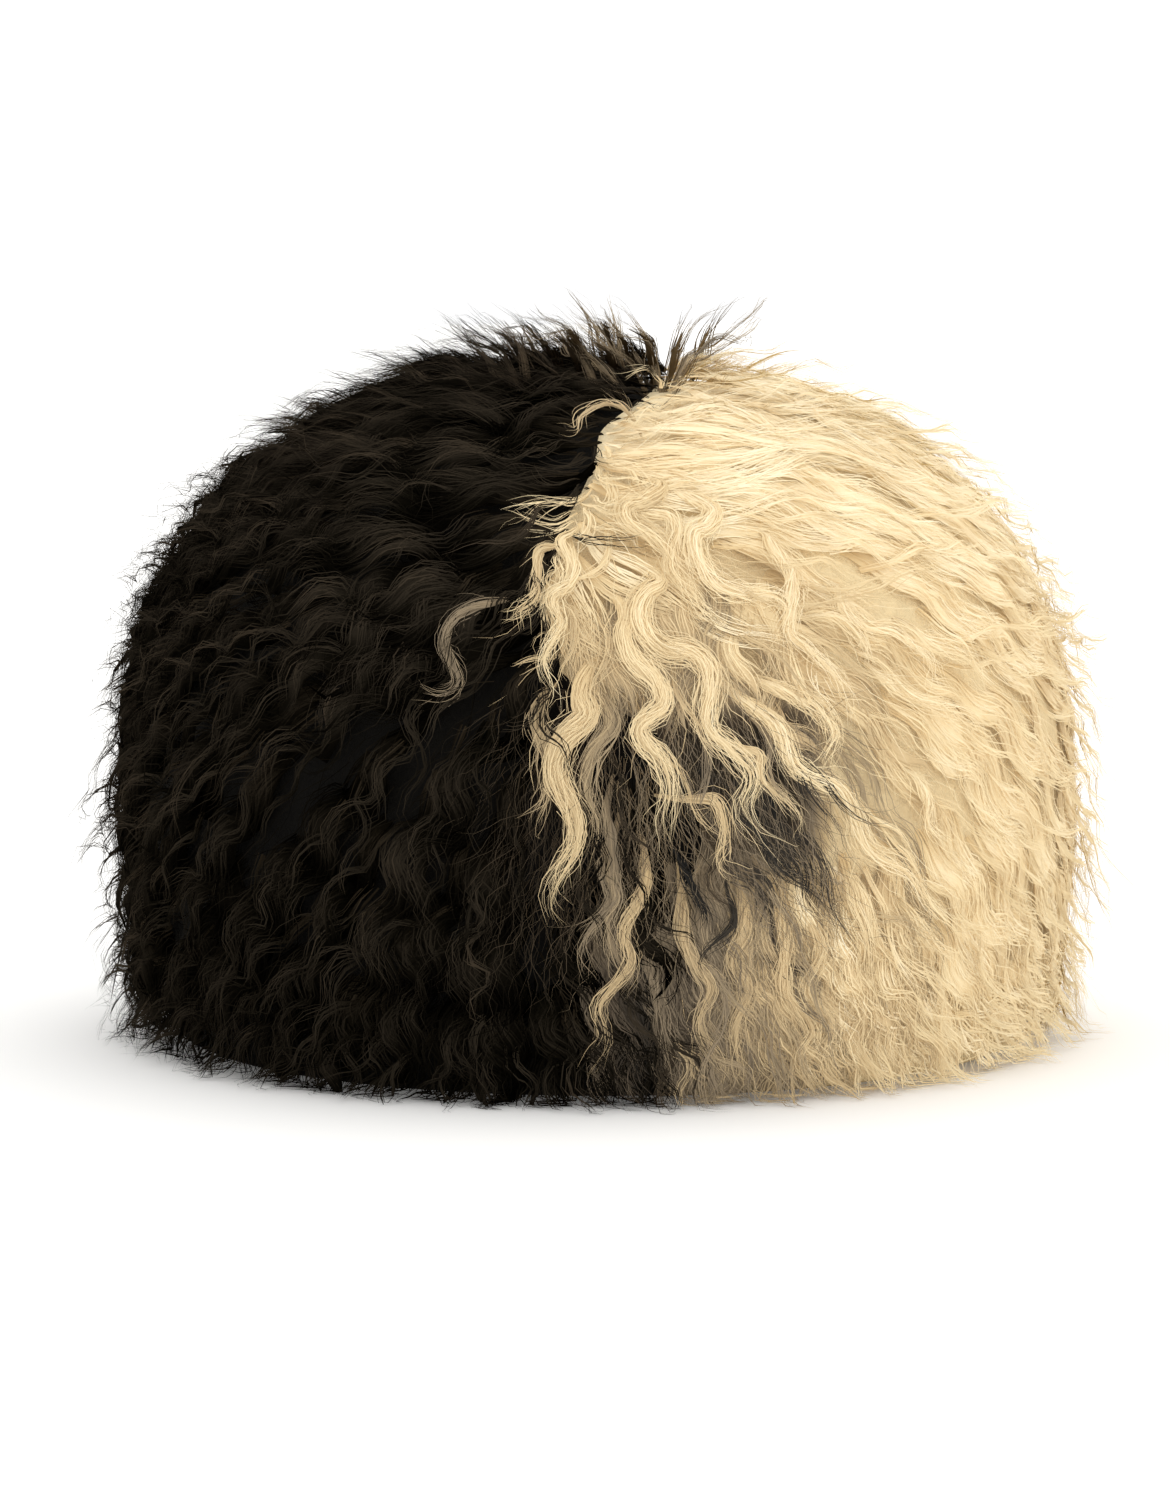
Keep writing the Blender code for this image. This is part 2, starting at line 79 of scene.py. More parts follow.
# Ropes of wool at the front, each along its own line. Across and height are as seen from the front, root
# first, and all but the tone is in millimetres. Rise is how far the rope lies above the wool around it.
ROPES = (
    # strands, width, rise, tone, (across, height) of each point
    (24, 6.5, 5, 0.95, ((-4, 180), (-9, 173), (-12, 169), (-8, 162), (-9, 156), (-14, 152), (-12, 146),
        (-14, 142), (-17, 134), (-12, 124), (-13, 117))),
    (16, 5.0, 5, 0.86, ((-9, 173), (-13, 168), (-18, 165), (-19, 157), (-20, 152), (-25, 148),
        (-31, 145))),
    (10, 4.0, 5, 0.80, ((14, 203), (4, 206), (-2, 205), (-6, 202), (-7, 198), (-13, 197))),
    (36, 9.0, 4, 0.93, ((6, 190), (14, 189), (18, 185), (13, 180), (8, 178), (9, 174), (16, 169),
        (20, 165), (21, 160), (28, 153), (31, 148), (36, 142))),
    (30, 8.0, 4, 0.95, ((5, 180), (13, 177), (20, 176), (23, 171), (22, 165), (25, 160), (30, 156))),
    (40, 9.5, 4, 0.98, ((15, 193), (21, 190), (23, 185), (28, 181), (33, 177), (31, 173), (27, 171),
        (27, 166), (30, 161), (35, 156), (43, 154), (50, 153), (54, 149), (52, 143), (51, 138),
        (55, 131))),
    (44, 11.0, 5, 0.95, ((2, 171), (7, 166), (13, 163), (18, 158), (13, 154), (11, 148), (13, 142),
        (18, 138), (26, 137), (31, 133), (32, 126), (31, 116), (37, 109), (43, 101), (41, 91),
        (53, 77))),
    (40, 10.0, 6, 0.94, ((-2, 159), (4, 155), (7, 148), (6, 142), (9, 135), (16, 129), (18, 122),
        (11, 115), (17, 106), (19, 98), (18, 88), (19, 77))),
    (46, 11.0, 6, 0.90, ((5, 141), (-3, 135), (-6, 126), (-4, 119), (-12, 110), (-13, 102), (-7, 89),
        (-7, 80), (-14, 67), (-11, 57))),
    (24, 9.0, 4, 0.70, ((2, 134), (0, 126), (3, 117), (-3, 108), (-5, 98), (-1, 87), (-4, 76))),
    (22, 7.0, 4, 0.74, ((-13, 131), (-17, 126), (-19, 116), (-16, 106), (-17, 95), (-21, 85))),
    (16, 6.0, 4, 0.62, ((4, 104), (1, 92), (2, 83), (4, 67), (-6, 52), (1, 40))),
    (20, 7.0, 4, 0.66, ((6, 92), (2, 76), (4, 66), (1, 58), (6, 46), (9, 42), (0, 34))),
    (18, 5.5, 5, 0.82, ((12, 88), (13, 72), (7, 57), (9, 46), (-1, 34), (1, 23), (-6, 13))),
    (14, 4.0, 6, 0.90, ((34, 114), (40, 110), (46, 108), (47, 100), (56, 89), (56, 82))),
    (14, 4.5, 5, 0.86, ((16, 96), (24, 95), (33, 95), (36, 87), (35, 76), (42, 72))),
    (34, 8.5, 4, 0.96, ((42, 142), (39, 133), (40, 126), (51, 116), (57, 104), (69, 97), (74, 88),
        (78, 79), (89, 71), (95, 62), (106, 51), (111, 42))),
    (26, 7.5, 3, 0.95, ((42, 134), (50, 128), (64, 121), (69, 113), (65, 105), (60, 99))),
    (34, 8.0, 3, 0.99, ((43, 180), (50, 173), (52, 167), (57, 158), (57, 149), (57, 142), (61, 138),
        (68, 130), (73, 121), (73, 114))),
    (32, 8.0, 3, 0.98, ((62, 163), (71, 156), (73, 148), (79, 143), (89, 141), (97, 133), (99, 121))),
    (26, 7.0, 3, 0.97, ((58, 149), (70, 146), (78, 139), (80, 130))),
    (30, 8.0, 3, 0.97, ((80, 138), (85, 128), (94, 121), (106, 117), (114, 110))),
    (30, 8.0, 3, 0.98, ((91, 150), (98, 138), (110, 133), (115, 126), (116, 119))),
    (26, 7.0, 3, 0.96, ((90, 105), (98, 92), (98, 83), (105, 77))),
    (26, 7.0, 3, 0.94, ((74, 76), (79, 60), (83, 49), (95, 39))),
    (24, 7.0, 3, 0.94, ((88, 64), (98, 50), (109, 36))),
    (22, 7.0, 4, 0.76, ((24, 77), (24, 57), (28, 46), (32, 38), (29, 27), (36, 15), (28, 5))),
    (22, 7.0, 4, 0.80, ((41, 76), (43, 57), (39, 46), (43, 37), (40, 24), (41, 12), (48, 3))),
    (20, 8.0, 3, 0.56, ((12, 62), (15, 45), (18, 28), (25, 6))),
    (22, 7.5, 4, 0.86, ((51, 74), (55, 51), (54, 36), (63, 24), (59, 15), (63, 7), (70, 3))),
    (20, 7.0, 4, 0.88, ((58, 66), (65, 49), (62, 36), (68, 26), (65, 16), (68, 6))),
    (10, 3.5, 6, 0.24, ((38, 72), (37, 66), (38, 57), (29, 48), (30, 41))),
    (12, 4.0, 5, 0.18, ((22, 80), (25, 73), (27, 68), (30, 60), (29, 52))),
    (16, 5.5, 5, 0.60, ((-22, 156), (-34, 151), (-43, 146), (-46, 138), (-42, 129), (-46, 125),
        (-54, 125), (-60, 127))),
)


# Locks that hang straight down at the front: low beside the parting, and under the ropes
HUNG = (
    # locks, across from, to, root height from, to, tip height from, to, tone at the parting, away from it
    (78, -0.002, 0.096, 0.046, 0.084, -0.006, 0.006, 0.26, 0.80),
    (26, -0.004, 0.060, 0.145, 0.172, 0.108, 0.124, 0.68, 0.80),
)

# The pieces of each colour's locks, by their turn from the side towards the front, below 0, or the back
LOCK_PLACES = (
    # name, from degree, to degree, share of the strands
    ("front", -91, -25, 1.10),
    ("side", -25, 35, 0.78),
    ("back", 35, 91, 0.57),
)

# How the strands of each colour's locks grow
LOCK_STRANDS = {
    # colour: times the strand width, crimp, painted highlight along the lock's middle (how much paler its
    # middle strands are than its sides)
    "dark": (1.0, (0.0003, 0.0010), 0.06),
    "cream": (1.1, (0.0001, 0.0006), 0.035),
}

# The finish of each colour's strands
STRAND_FINISHES = {
    # colour: specular level, roughness, streaks
    "dark": (0.0, 0.60, 0.08),
    "cream": (0.20, 0.65, 0.035),
}


class HatShape(bpy.types.PropertyGroup):
    """The outline that the wool fills."""

    width: bpy.props.FloatProperty(
        name="Width", description="Wool, side to side", default=0.311, unit="LENGTH"
    )
    length: bpy.props.FloatProperty(
        name="Length", description="Wool, front to back", default=0.317, unit="LENGTH"
    )
    height: bpy.props.FloatProperty(
        name="Height", description="Wool, base to crown", default=0.219, unit="LENGTH"
    )
    widest_height: bpy.props.FloatProperty(
        name="Widest height", description="Height at which the wool is widest", default=0.078, unit="LENGTH"
    )
    squareness: bpy.props.FloatProperty(
        name="Squareness", description="2 is a plain ellipse, more is squarer", default=2.4
    )
    base_tuck: bpy.props.FloatProperty(
        name="Base tuck", description="Share of the width drawn in at the base", default=0.06,
        subtype="FACTOR",
    )
    whorl_back: bpy.props.FloatProperty(
        name="Whorl", description="How far back the point is that the front's wool fans out from",
        default=-0.200, unit="LENGTH",
    )
    crest_back: bpy.props.FloatProperty(
        name="Crest", description="How far back the line ends that the crown's wool falls from sideways",
        default=0.070, unit="LENGTH",
    )
    crest_height: bpy.props.FloatProperty(
        name="Crest height", description="Height of the whorl and the crest", default=0.212, unit="LENGTH"
    )
    front_weight: bpy.props.FloatProperty(
        name="Front weight", description="How strongly its weight turns the wool down at the front",
        default=0.2,
    )
    back_weight: bpy.props.FloatProperty(
        name="Back weight", description="How strongly it does at the sides and the back", default=1.7
    )


class WoolStyle(bpy.types.PropertyGroup):
    """The locks and their strands."""

    locks: bpy.props.IntProperty(name="Locks", description="Locks all over the hat", default=490)
    parting_locks: bpy.props.IntProperty(
        name="Parting locks", description="Locks close along the parting", default=120
    )
    strands: bpy.props.IntProperty(name="Strands", description="Strands in a lock", default=19)
    frizz: bpy.props.IntProperty(name="Frizz", description="Loose hairs on a lock", default=7)
    rings: bpy.props.IntProperty(name="Rings", description="Points along a strand", default=20)
    shortest: bpy.props.FloatProperty(
        name="Shortest lock", description="Length of the shortest locks", default=0.068, unit="LENGTH"
    )
    longest: bpy.props.FloatProperty(
        name="Longest lock", description="Length of the longest locks", default=0.118, unit="LENGTH"
    )
    narrowest: bpy.props.FloatProperty(
        name="Narrowest lock", description="Width of the narrowest locks", default=0.008, unit="LENGTH"
    )
    widest: bpy.props.FloatProperty(
        name="Widest lock", description="Width of the widest locks", default=0.018, unit="LENGTH"
    )
    wave: bpy.props.FloatProperty(
        name="Wave", description="Length of a lock's waves", default=0.041, unit="LENGTH"
    )
    swing: bpy.props.FloatProperty(
        name="Swing", description="How far a wave swings to each side", default=0.0040, unit="LENGTH"
    )
    strand_width: bpy.props.FloatProperty(
        name="Strand width", description="Width of a strand", default=0.00045, unit="LENGTH"
    )
    fuzz: bpy.props.IntProperty(name="Fuzz", description="Loose hairs all over the hat", default=4100)
    window_hairs: bpy.props.IntProperty(
        name="Window hairs", description="Curly hairs in the dark gap between the ropes", default=900
    )
    wisps: bpy.props.IntProperty(
        name="Wisps", description="Thin tufts that stand off the outline", default=620
    )
    crest_wisps: bpy.props.IntProperty(
        name="Crest wisps", description="More of them over the crown, side to side", default=90
    )
    hem_wisps: bpy.props.IntProperty(
        name="Hem wisps", description="More of them round the base, down to the floor", default=180
    )
    parting_wisps: bpy.props.IntProperty(
        name="Parting wisps", description="Wisps that stray over the parting", default=185
    )
    crown_tufts: bpy.props.IntProperty(
        name="Crown tufts", description="Curved dark tufts that stand up on the crown", default=120
    )
    hem_locks: bpy.props.IntProperty(
        name="Hem locks", description="Short locks whose tips curl onto the floor", default=220
    )
    seed: bpy.props.IntProperty(name="Seed", description="Seed of all that is random", default=7)


class Colours(bpy.types.PropertyGroup):
    """The colours of the hides, the wool and the floor."""

    dark_hide_deep: bpy.props.FloatVectorProperty(
        name="Dark hide, deep", description="Deeper blotches", default=(0.10, 0.07, 0.05), subtype="COLOR"
    )
    dark_hide_pale: bpy.props.FloatVectorProperty(
        name="Dark hide, pale", description="Paler blotches", default=(0.19, 0.135, 0.095), subtype="COLOR"
    )
    cream_hide_deep: bpy.props.FloatVectorProperty(
        name="Cream hide, deep", description="Deeper blotches", default=(0.5, 0.385, 0.27), subtype="COLOR"
    )
    cream_hide_pale: bpy.props.FloatVectorProperty(
        name="Cream hide, pale", description="Paler blotches", default=(0.68, 0.56, 0.42), subtype="COLOR"
    )
    dark_wool: bpy.props.FloatVectorProperty(
        name="Dark wool", description="The dark half", default=(0.0052, 0.0043, 0.0028), subtype="COLOR"
    )
    cream_wool: bpy.props.FloatVectorProperty(
        name="Cream wool", description="The cream half", default=(0.78, 0.63, 0.375), subtype="COLOR"
    )
    floor: bpy.props.FloatVectorProperty(
        name="Floor", description="The floor's paper", default=(0.88, 0.87, 0.85), subtype="COLOR"
    )


class StageStyle(bpy.types.PropertyGroup):
    """The floor, the lights and the camera."""

    distance: bpy.props.FloatProperty(
        name="Camera distance", description="From the aim to the camera", default=1.8, unit="LENGTH"
    )
    elevation: bpy.props.FloatProperty(
        name="Elevation", description="Camera above the horizon", default=math.radians(6), subtype="ANGLE"
    )
    aim: bpy.props.FloatVectorProperty(
        name="Aim", description="Point that the camera looks at", default=(-0.005, 0, 0.092), subtype="XYZ"
    )
    lens: bpy.props.FloatProperty(name="Lens", description="Focal length in millimetres", default=130)
    sky: bpy.props.FloatProperty(name="Sky", description="Strength of the white room light", default=1.07)
    key: bpy.props.FloatProperty(name="Key", description="Strength of the key light", default=0.85)
    fill: bpy.props.FloatProperty(
        name="Fill", description="Strength of the fill light, which casts no shadows", default=0.9
    )


# Shape of the wool

CROWN_FOOT = 0.12  # height above which the wool's lie starts to turn towards the crest
CROWN_DEPTH = 0.09  # how much higher it has turned all the way
BACK_START = -0.05  # how far back the wool starts to hang as it does at the back
BACK_DEPTH = 0.12  # how much further back it hangs so all the way


def unit(vectors):
    """Vectors scaled to a length of 1."""
    return vectors / np.maximum(np.linalg.norm(vectors, axis=-1, keepdims=True), 1e-9)


def dot(a, b):
    return (a * b).sum(axis=-1, keepdims=True)


def eased(share):
    share = np.clip(share, 0, 1)
    return share * share * (3 - 2 * share)


def parting_across(heights):
    """Where the parting lies at each height, eased from row to row of its table."""
    row = np.clip(np.searchsorted(PARTING[:, 0], heights) - 1, 0, len(PARTING) - 2)
    low, high = PARTING[row], PARTING[row + 1]
    share = eased((heights - low[..., 0]) / (high[..., 0] - low[..., 0]))
    return low[..., 1] + (high[..., 1] - low[..., 1]) * share


def past_parting(points):
    """How far points lie past the parting, on the cream side of it."""
    return points[..., 0] - parting_across(points[..., 2])


class Outline:
    """The wool's outline, a squared dome over a base that tucks in, and how the wool lies on it."""

    def __init__(self, shape):
        self.half_width = shape.width / 2
        self.half_length = shape.length / 2
        self.widest = shape.widest_height
        self.rise = shape.height - shape.widest_height
        self.power = shape.squareness
        self.tuck = shape.base_tuck
        self.whorl_back = shape.whorl_back
        self.crest_back = shape.crest_back
        self.crest_height = shape.crest_height
        self.front_weight = shape.front_weight
        self.back_weight = shape.back_weight

    def width_share(self, heights):
        """How wide the wool is at each height, as a share of its widest."""
        below = (self.widest - heights) / self.widest
        above = np.clip((heights - self.widest) / self.rise, 0, 1)
        dome = (1 - above**self.power) ** (1 / self.power)
        return np.where(below > 0, 1 - self.tuck * below**2, dome)

    def round_share(self, points):
        return np.maximum(np.hypot(points[..., 0] / self.half_width, points[..., 1] / self.half_length), 1e-6)

    def seat(self, points):
        """The points of the outline that points near it lie over."""
        heights = points[..., 2]
        round_share = self.round_share(points)
        above = np.maximum((heights - self.widest) / self.rise, 0)
        size = (round_share**self.power + above**self.power) ** (1 / self.power)
        low = heights < self.widest
        shrink = np.where(low, round_share / self.width_share(heights), size)
        seated = points.copy()
        seated[..., :2] /= shrink[..., None]
        seated[..., 2] = np.where(low, heights, self.widest + above * self.rise / size)
        return seated

    def outward(self, points):
        """The direction straight out of the outline."""
        heights = points[..., 2]
        round_share = self.round_share(points)
        above = np.maximum((heights - self.widest) / self.rise, 0)
        below = np.maximum((self.widest - heights) / self.widest, 0)
        flat = np.where(heights < self.widest, 1 / round_share, round_share ** (self.power - 2))
        slope = above ** (self.power - 1) / self.rise - 2 * self.tuck * below / self.widest
        across = points[..., 0] / self.half_width**2 * flat
        back = points[..., 1] / self.half_length**2 * flat
        return unit(np.stack([across, back, slope], axis=-1))

    def over(self, across, back):
        """The point of the outline over a place near the crown."""
        share = math.hypot(across / self.half_width, back / self.half_length)
        rise = (1 - share**self.power) ** (1 / self.power)
        return np.array([across, back, self.widest + rise * self.rise])

    def front(self, across, heights):
        """The points of the outline's front at places seen from the front."""
        share = self.width_share(heights)
        side = np.clip(across / (self.half_width * share), -0.999, 0.999)
        return np.stack([across, -self.half_length * share * np.sqrt(1 - side**2), heights], axis=-1)

    def away(self, points):
        """From the point of the crest that the wool at each place falls away from to that place."""
        back, height = points[..., 1:2], points[..., 2:3]
        crowned = eased((height - CROWN_FOOT) / CROWN_DEPTH)
        nearest = np.clip(back, self.whorl_back, self.crest_back)
        crest = self.whorl_back + (nearest - self.whorl_back) * crowned
        across = parting_across(height) * crowned
        return points - np.concatenate([across, crest, crest * 0 + self.crest_height], axis=-1)

    def lie(self, points):
        """The way the wool lies, down and away from the crest, the way across it and the way out."""
        out = self.outward(points)
        behind = eased((points[..., 1:2] - BACK_START) / BACK_DEPTH)
        weight = self.front_weight + (self.back_weight - self.front_weight) * behind
        pull = unit(self.away(points)) + weight * np.array([0, 0, -1.0])
        along = unit(pull - out * dot(pull, out))
        return along, np.cross(out, along), out

    def trails(self, roots, lengths, leans, steps):
        """The lines that locks follow from their roots, each leaning a little out of the wool's lie."""
        step = (lengths / (steps - 1))[:, None]
        turn = leans[:, None]
        places = [roots]
        for _ in range(steps - 1):
            along, across, _ = self.lie(places[-1])
            ahead = along * np.cos(turn) + across * np.sin(turn)
            places.append(self.seat(places[-1] + ahead * step))
        return np.stack(places, axis=1)

    def spread_roots(self, count, lowest, crown_share, stray, random):
        """Roots spread over the outline along a golden-angle spiral, each strayed a little."""
        number = np.arange(count)
        share = ((number + 0.5) / count) ** crown_share
        height = 1 - share * (1 - lowest)
        turn = number * math.pi * (3 - math.sqrt(5))
        level = np.sqrt(1 - height**2)
        rays = np.stack([level * np.cos(turn), level * np.sin(turn), height], axis=-1)
        rays += random.uniform(-stray, stray, rays.shape) * math.sqrt(2 * math.pi / count)
        return self.seat(np.array([0, 0, self.widest]) + unit(rays) * self.rise)

    def rim_roots(self, turn, heights):
        """Roots round the rim, each at its own turn and height."""
        rim = [np.cos(turn) * self.half_width, np.sin(turn) * self.half_length, heights]
        return self.seat(np.stack(rim, axis=-1))


# Strands


def smooth_line(points, steps):
    """A smooth line through points, with its own points evenly along it."""
    place = np.linspace(0, len(points) - 1.001, steps * 5)
    index = place.astype(int)
    share = (place - index)[:, None]
    ways = np.gradient(points, axis=0)
    start, end = points[index], points[index + 1]
    line = (
        start * (2 * share**3 - 3 * share**2 + 1)
        + ways[index] * (share**3 - 2 * share**2 + share)
        + end * (3 * share**2 - 2 * share**3)
        + ways[index + 1] * (share**3 - share**2)
    )
    run = np.concatenate([[0], np.cumsum(np.linalg.norm(np.diff(line, axis=0), axis=1))])
    even = np.linspace(0, run[-1], steps)
    return np.stack([np.interp(even, run, line[:, axis]) for axis in range(line.shape[1])], axis=-1)


# A lock's traits where its maker gives no others. A pair is drawn at random between its two values, and the
# pairs are drawn in this order.
PLAIN_LOCK = {
    "width": 0.0,
    "wave": 0.05,  # length of its waves
    "swing": 0.0,  # how far they swing to each side
    "phase": (0, 6.28),  # where in a wave it starts
    "curl": 0.0,  # how far its tip turns to one side
    "stand": 0.0,  # how far its tip stands off
    "rise": 3,  # how late along the lock it does so, as a power
    "depth": 0.0,  # how deep its root is sunken
    "height": 0.0,  # how far all of it lies off the outline
    "drift": 0.003,  # how far the tips of its strands stray
    "bounce": 1.0,  # how far its waves swing outwards, as a share of their swing
    "root": 0.5,  # how wide it is at the root, as a share of its width
    "puff": 1.0,  # how thick it is, against the other locks
    "gleam": 0.0,  # painted highlight: how much paler it is on top of its waves, with painted shade in their troughs
    "tone": 0.5,
}


class Locks:
    """A batch of locks: the lines that they follow, and an array of one value a lock for each trait."""

    def __init__(self, trails, random, **traits):
        self.trails = trails
        for name, plain in PLAIN_LOCK.items():
            value = traits.get(name, plain)
            if isinstance(value, tuple):
                value = random.uniform(*value, self.count)
            setattr(self, name, np.broadcast_to(np.asarray(value, float), (self.count,)).copy())
        self.length = np.linalg.norm(np.diff(trails, axis=1), axis=-1).sum(axis=1)

    @property
    def count(self):
        return len(self.trails)

    def chosen(self, mask):
        """The locks for which mask is true, or those with its numbers."""
        part = copy(self)
        for name, values in vars(self).items():
            setattr(part, name, values[mask])
        return part


def columns(values):
    """One value a lock, shaped to go with the points along it."""
    return values[:, None, None]


def spines(outline, locks):
    """The middle line of each lock, waved, sunken at the root and standing off at the tip, and its painted
    wave light: painted highlight on its wave tops, painted shade in the troughs.
    """
    steps = locks.trails.shape[1]
    share = np.linspace(0, 1, steps)[None, :, None]
    out = outline.outward(locks.trails)
    along = unit(np.gradient(locks.trails, axis=1))
    across = unit(np.cross(out, along))
    gone = np.linalg.norm(outline.away(locks.trails), axis=-1, keepdims=True)
    phase = 2 * math.pi * gone / columns(locks.wave) * (1 + 1.6 * gone) + columns(locks.phase)
    swing = columns(locks.swing) * eased(share / 0.35)
    curl = columns(locks.curl) * np.clip((share - 0.8) / 0.2, 0, None) ** 2
    lift = columns(locks.stand) * share ** columns(locks.rise)
    sink = columns(locks.depth) * np.clip(1 - share / 0.3, 0, None) ** 2
    spine = (
        locks.trails
        + across * (swing * np.sin(phase) + curl)
        - along * (0.25 * swing * np.sin(2 * phase))
        + out * (lift - sink + columns(locks.height) + columns(locks.bounce) * swing * np.cos(phase))
    )
    # Painted highlight on the tops of the waves and painted shade in their troughs
    return spine, columns(locks.gleam) * np.cos(phase + 0.8)


def lock_width(locks, share):
    """Half the width of locks at a share of their length, swelling from the root and tapering to the tip."""
    root = columns(locks.root)
    swell = root + (1 - root) * eased(share / 0.3)
    return columns(locks.width) / 2 * swell * np.clip(1 - share**2.2, 0, 1) ** 0.75


def lock_frames(outline, locks):
    """The middle line of each lock with the way across it, the way out of it and the painted highlight and
    shade of its waves at each point.
    """
    spine, gleam = spines(outline, locks)
    ahead = unit(np.gradient(spine, axis=1))
    side = unit(np.cross(ahead, outline.outward(spine)))
    return spine, side, np.cross(side, ahead), gleam


# A lock body's section, as shares of half the lock's width, from one side over the top to the other
BODY_SECTION = np.array([
    # across, out, tone added, which is painted shade at the sides
    (-0.92, -0.40, -0.06),
    (-0.58, 0.04, -0.01),
    (-0.20, 0.22, 0.00),
    (0.20, 0.22, 0.00),
    (0.58, 0.04, -0.01),
    (0.92, -0.40, -0.06),
])
BODY_END = 0.86  # where the body ends, as a share of the lock's length
BODY_SWELL = 0.2  # where it reaches its full width
BODY_REST = 0.0006  # how far above the floor it lies
BODY_VARIETY = 0.01  # how far the tones of its strips differ


def bodies(outline, locks, rings, random, fullness=1.0):
    """The solid body of each lock, which its strands lie on, as a grid of points with tones and shares."""
    spine, side, top, gleam = lock_frames(outline, locks)
    at = np.linspace(0, (spine.shape[1] - 1) * BODY_END, rings).round().astype(int)
    share = np.linspace(0, BODY_END, rings)[None, :, None]
    swollen = np.clip(eased(share / BODY_SWELL), 0.02, 1)
    tapered = np.clip(1 - (share / BODY_END) ** 3, 0.01, 1)
    half = (lock_width(locks, share) * (swollen * tapered) * fullness)[..., None]
    middle, side, top = (values[:, at, None] for values in (spine, side, top))
    across, out = BODY_SECTION[:, 0, None], BODY_SECTION[:, 1, None]
    points = middle + side * across * half + top * out * half * locks.puff[:, None, None, None]
    points = lie_on_floor(points, BODY_REST)
    variety = random.uniform(-BODY_VARIETY, BODY_VARIETY, (locks.count, 1, len(BODY_SECTION)))
    # Its tone carries its waves' painted highlight and shade, and the section's painted shade at its sides
    tones = columns(locks.tone) + gleam[:, at] + variety + BODY_SECTION[:, 2]
    tones = np.broadcast_to(tones, points.shape[:3])
    return points, tones, np.broadcast_to(share, points.shape[:3])


class StrandKind:
    """How the strands of one kind grow on a lock. Each pair holds the lowest and the highest value."""

    def __init__(
        self, per_lock, rings, width, start=(0, 0), reach=(1, 1), fan=(0, 0), crimp=(0, 0),
        crimp_wave=(0.012, 0.022), drift=1.0, painted_ridge_light=0.06,
    ):
        self.per_lock = per_lock
        self.rings = rings
        self.width = width
        self.start = start  # where on the lock a strand begins, as a share of its length
        self.reach = reach  # how far it runs, as a share of the lock's length
        self.fan = fan  # how far from the lock's middle line, as a share of half its width
        self.crimp = crimp  # how far it winds about its own line
        self.crimp_wave = crimp_wave  # how long each winding is
        self.drift = drift  # how far its tip strays, as a multiple of the lock's own drift
        self.painted_ridge_light = painted_ridge_light  # painted highlight and shade: how much paler the strands along the lock's middle are than those at its sides


FAN_DEPTH = 0.34  # how deep a lock's fan of strands is, as a share of its width
DARK_TIP_PALING = 0.05  # how much paler dark wool is at its tips
STRAND_VARIETY = 0.014  # how far the tones of a lock's strands differ
STRAND_EDGE = 0.006  # how much paler one edge of a strand is than the other
FLOOR_SPREAD = 0.4  # how far the wool slides out on the floor, as a share of how far it would hang below


def strands(outline, locks, kind, random):
    """The strands of a batch of locks, each a ribbon of two points a ring, with tones and shares."""
    spine, side, top, gleam = lock_frames(outline, locks)
    steps = spine.shape[1]
    owner = np.repeat(np.arange(locks.count), kind.per_lock)
    total = len(owner)

    def drawn(low, high):
        return random.uniform(low, high, total)[:, None, None]

    share = (np.linspace(0, 1, kind.rings) ** 0.85)[None, :, None]
    reach = drawn(*kind.reach) * (1 - 0.25 * drawn(0, 1) ** 3)
    lock_share = np.clip(drawn(*kind.start) + share * reach, 0, 0.999)
    place = lock_share * (steps - 1)
    index = place[..., 0].astype(int)
    blend = place - index[..., None]
    rows = owner[:, None]

    def along_lock(values):
        return values[rows, index] * (1 - blend) + values[rows, index + 1] * blend

    middle = along_lock(spine)
    strand_side = unit(along_lock(side))
    strand_top = unit(along_lock(top))

    angle = drawn(-1.45, 1.45)
    fan = np.sqrt(drawn(kind.fan[0] ** 2, kind.fan[1] ** 2))
    half = lock_width(locks.chosen(owner), lock_share)
    puff = columns(locks.puff[owner])
    crimp = drawn(*kind.crimp) * eased(lock_share / 0.3)
    turns = lock_share * columns(locks.length[owner]) / drawn(*kind.crimp_wave)
    crimp_phase = 2 * math.pi * turns + 2.5 * angle + drawn(-0.8, 0.8)
    drift = share**2 * columns(locks.drift[owner]) * kind.drift
    sideways = half * fan * np.sin(angle) + crimp * np.sin(crimp_phase) + drift * drawn(-1, 1)
    outwards = half * fan * FAN_DEPTH * puff * np.cos(angle) + crimp * np.cos(crimp_phase)
    outwards = outwards + drift * drawn(-0.5, 1)
    points = middle + strand_side * sideways + strand_top * outwards
    points = lie_on_floor(points, drawn(0.0003, 0.0030))

    roll = angle * 0.3 + drawn(-0.25, 0.25)
    ways = strand_side * np.cos(roll) - strand_top * np.sin(roll)
    heading = unit(np.gradient(points, axis=1))
    ways = unit(ways - heading * dot(ways, heading))
    half_ribbon = kind.width / 2 * drawn(0.65, 1.25) * np.clip(1.02 - share**3, 0.02, 1) ** 0.8
    ribbon = np.stack([points - ways * half_ribbon, points + ways * half_ribbon], axis=2)
    # Painted highlight along the lock's middle and painted shade at its sides, with its waves' painted
    # highlight and shade
    painted_ridge_light = kind.painted_ridge_light * (np.cos(angle) ** 2 - 0.5) + along_lock(gleam)
    paler_tips = DARK_TIP_PALING * lock_share**2 * columns(locks.tone[owner] < 0.5)
    own = columns(locks.tone[owner] + random.uniform(-STRAND_VARIETY, STRAND_VARIETY, total))
    tones = np.broadcast_to(own + painted_ridge_light + paler_tips + np.array([0, STRAND_EDGE]), ribbon.shape[:3])
    return ribbon, tones, np.broadcast_to(lock_share, ribbon.shape[:3])


def lie_on_floor(points, rests):
    """What would hang below the floor lies on it instead, pushed out along it."""
    low = np.clip(rests - points[..., 2:3], 0, None)
    away = points.copy()
    away[..., 2] = 0
    moved = points + unit(away) * low * FLOOR_SPREAD
    moved[..., 2:3] += low
    return moved


def vertex_places(mesh):
    places = np.empty(len(mesh.vertices) * 3, np.float32)
    mesh.vertices.foreach_get("co", places)
    return places.reshape(-1, 3).astype(float)


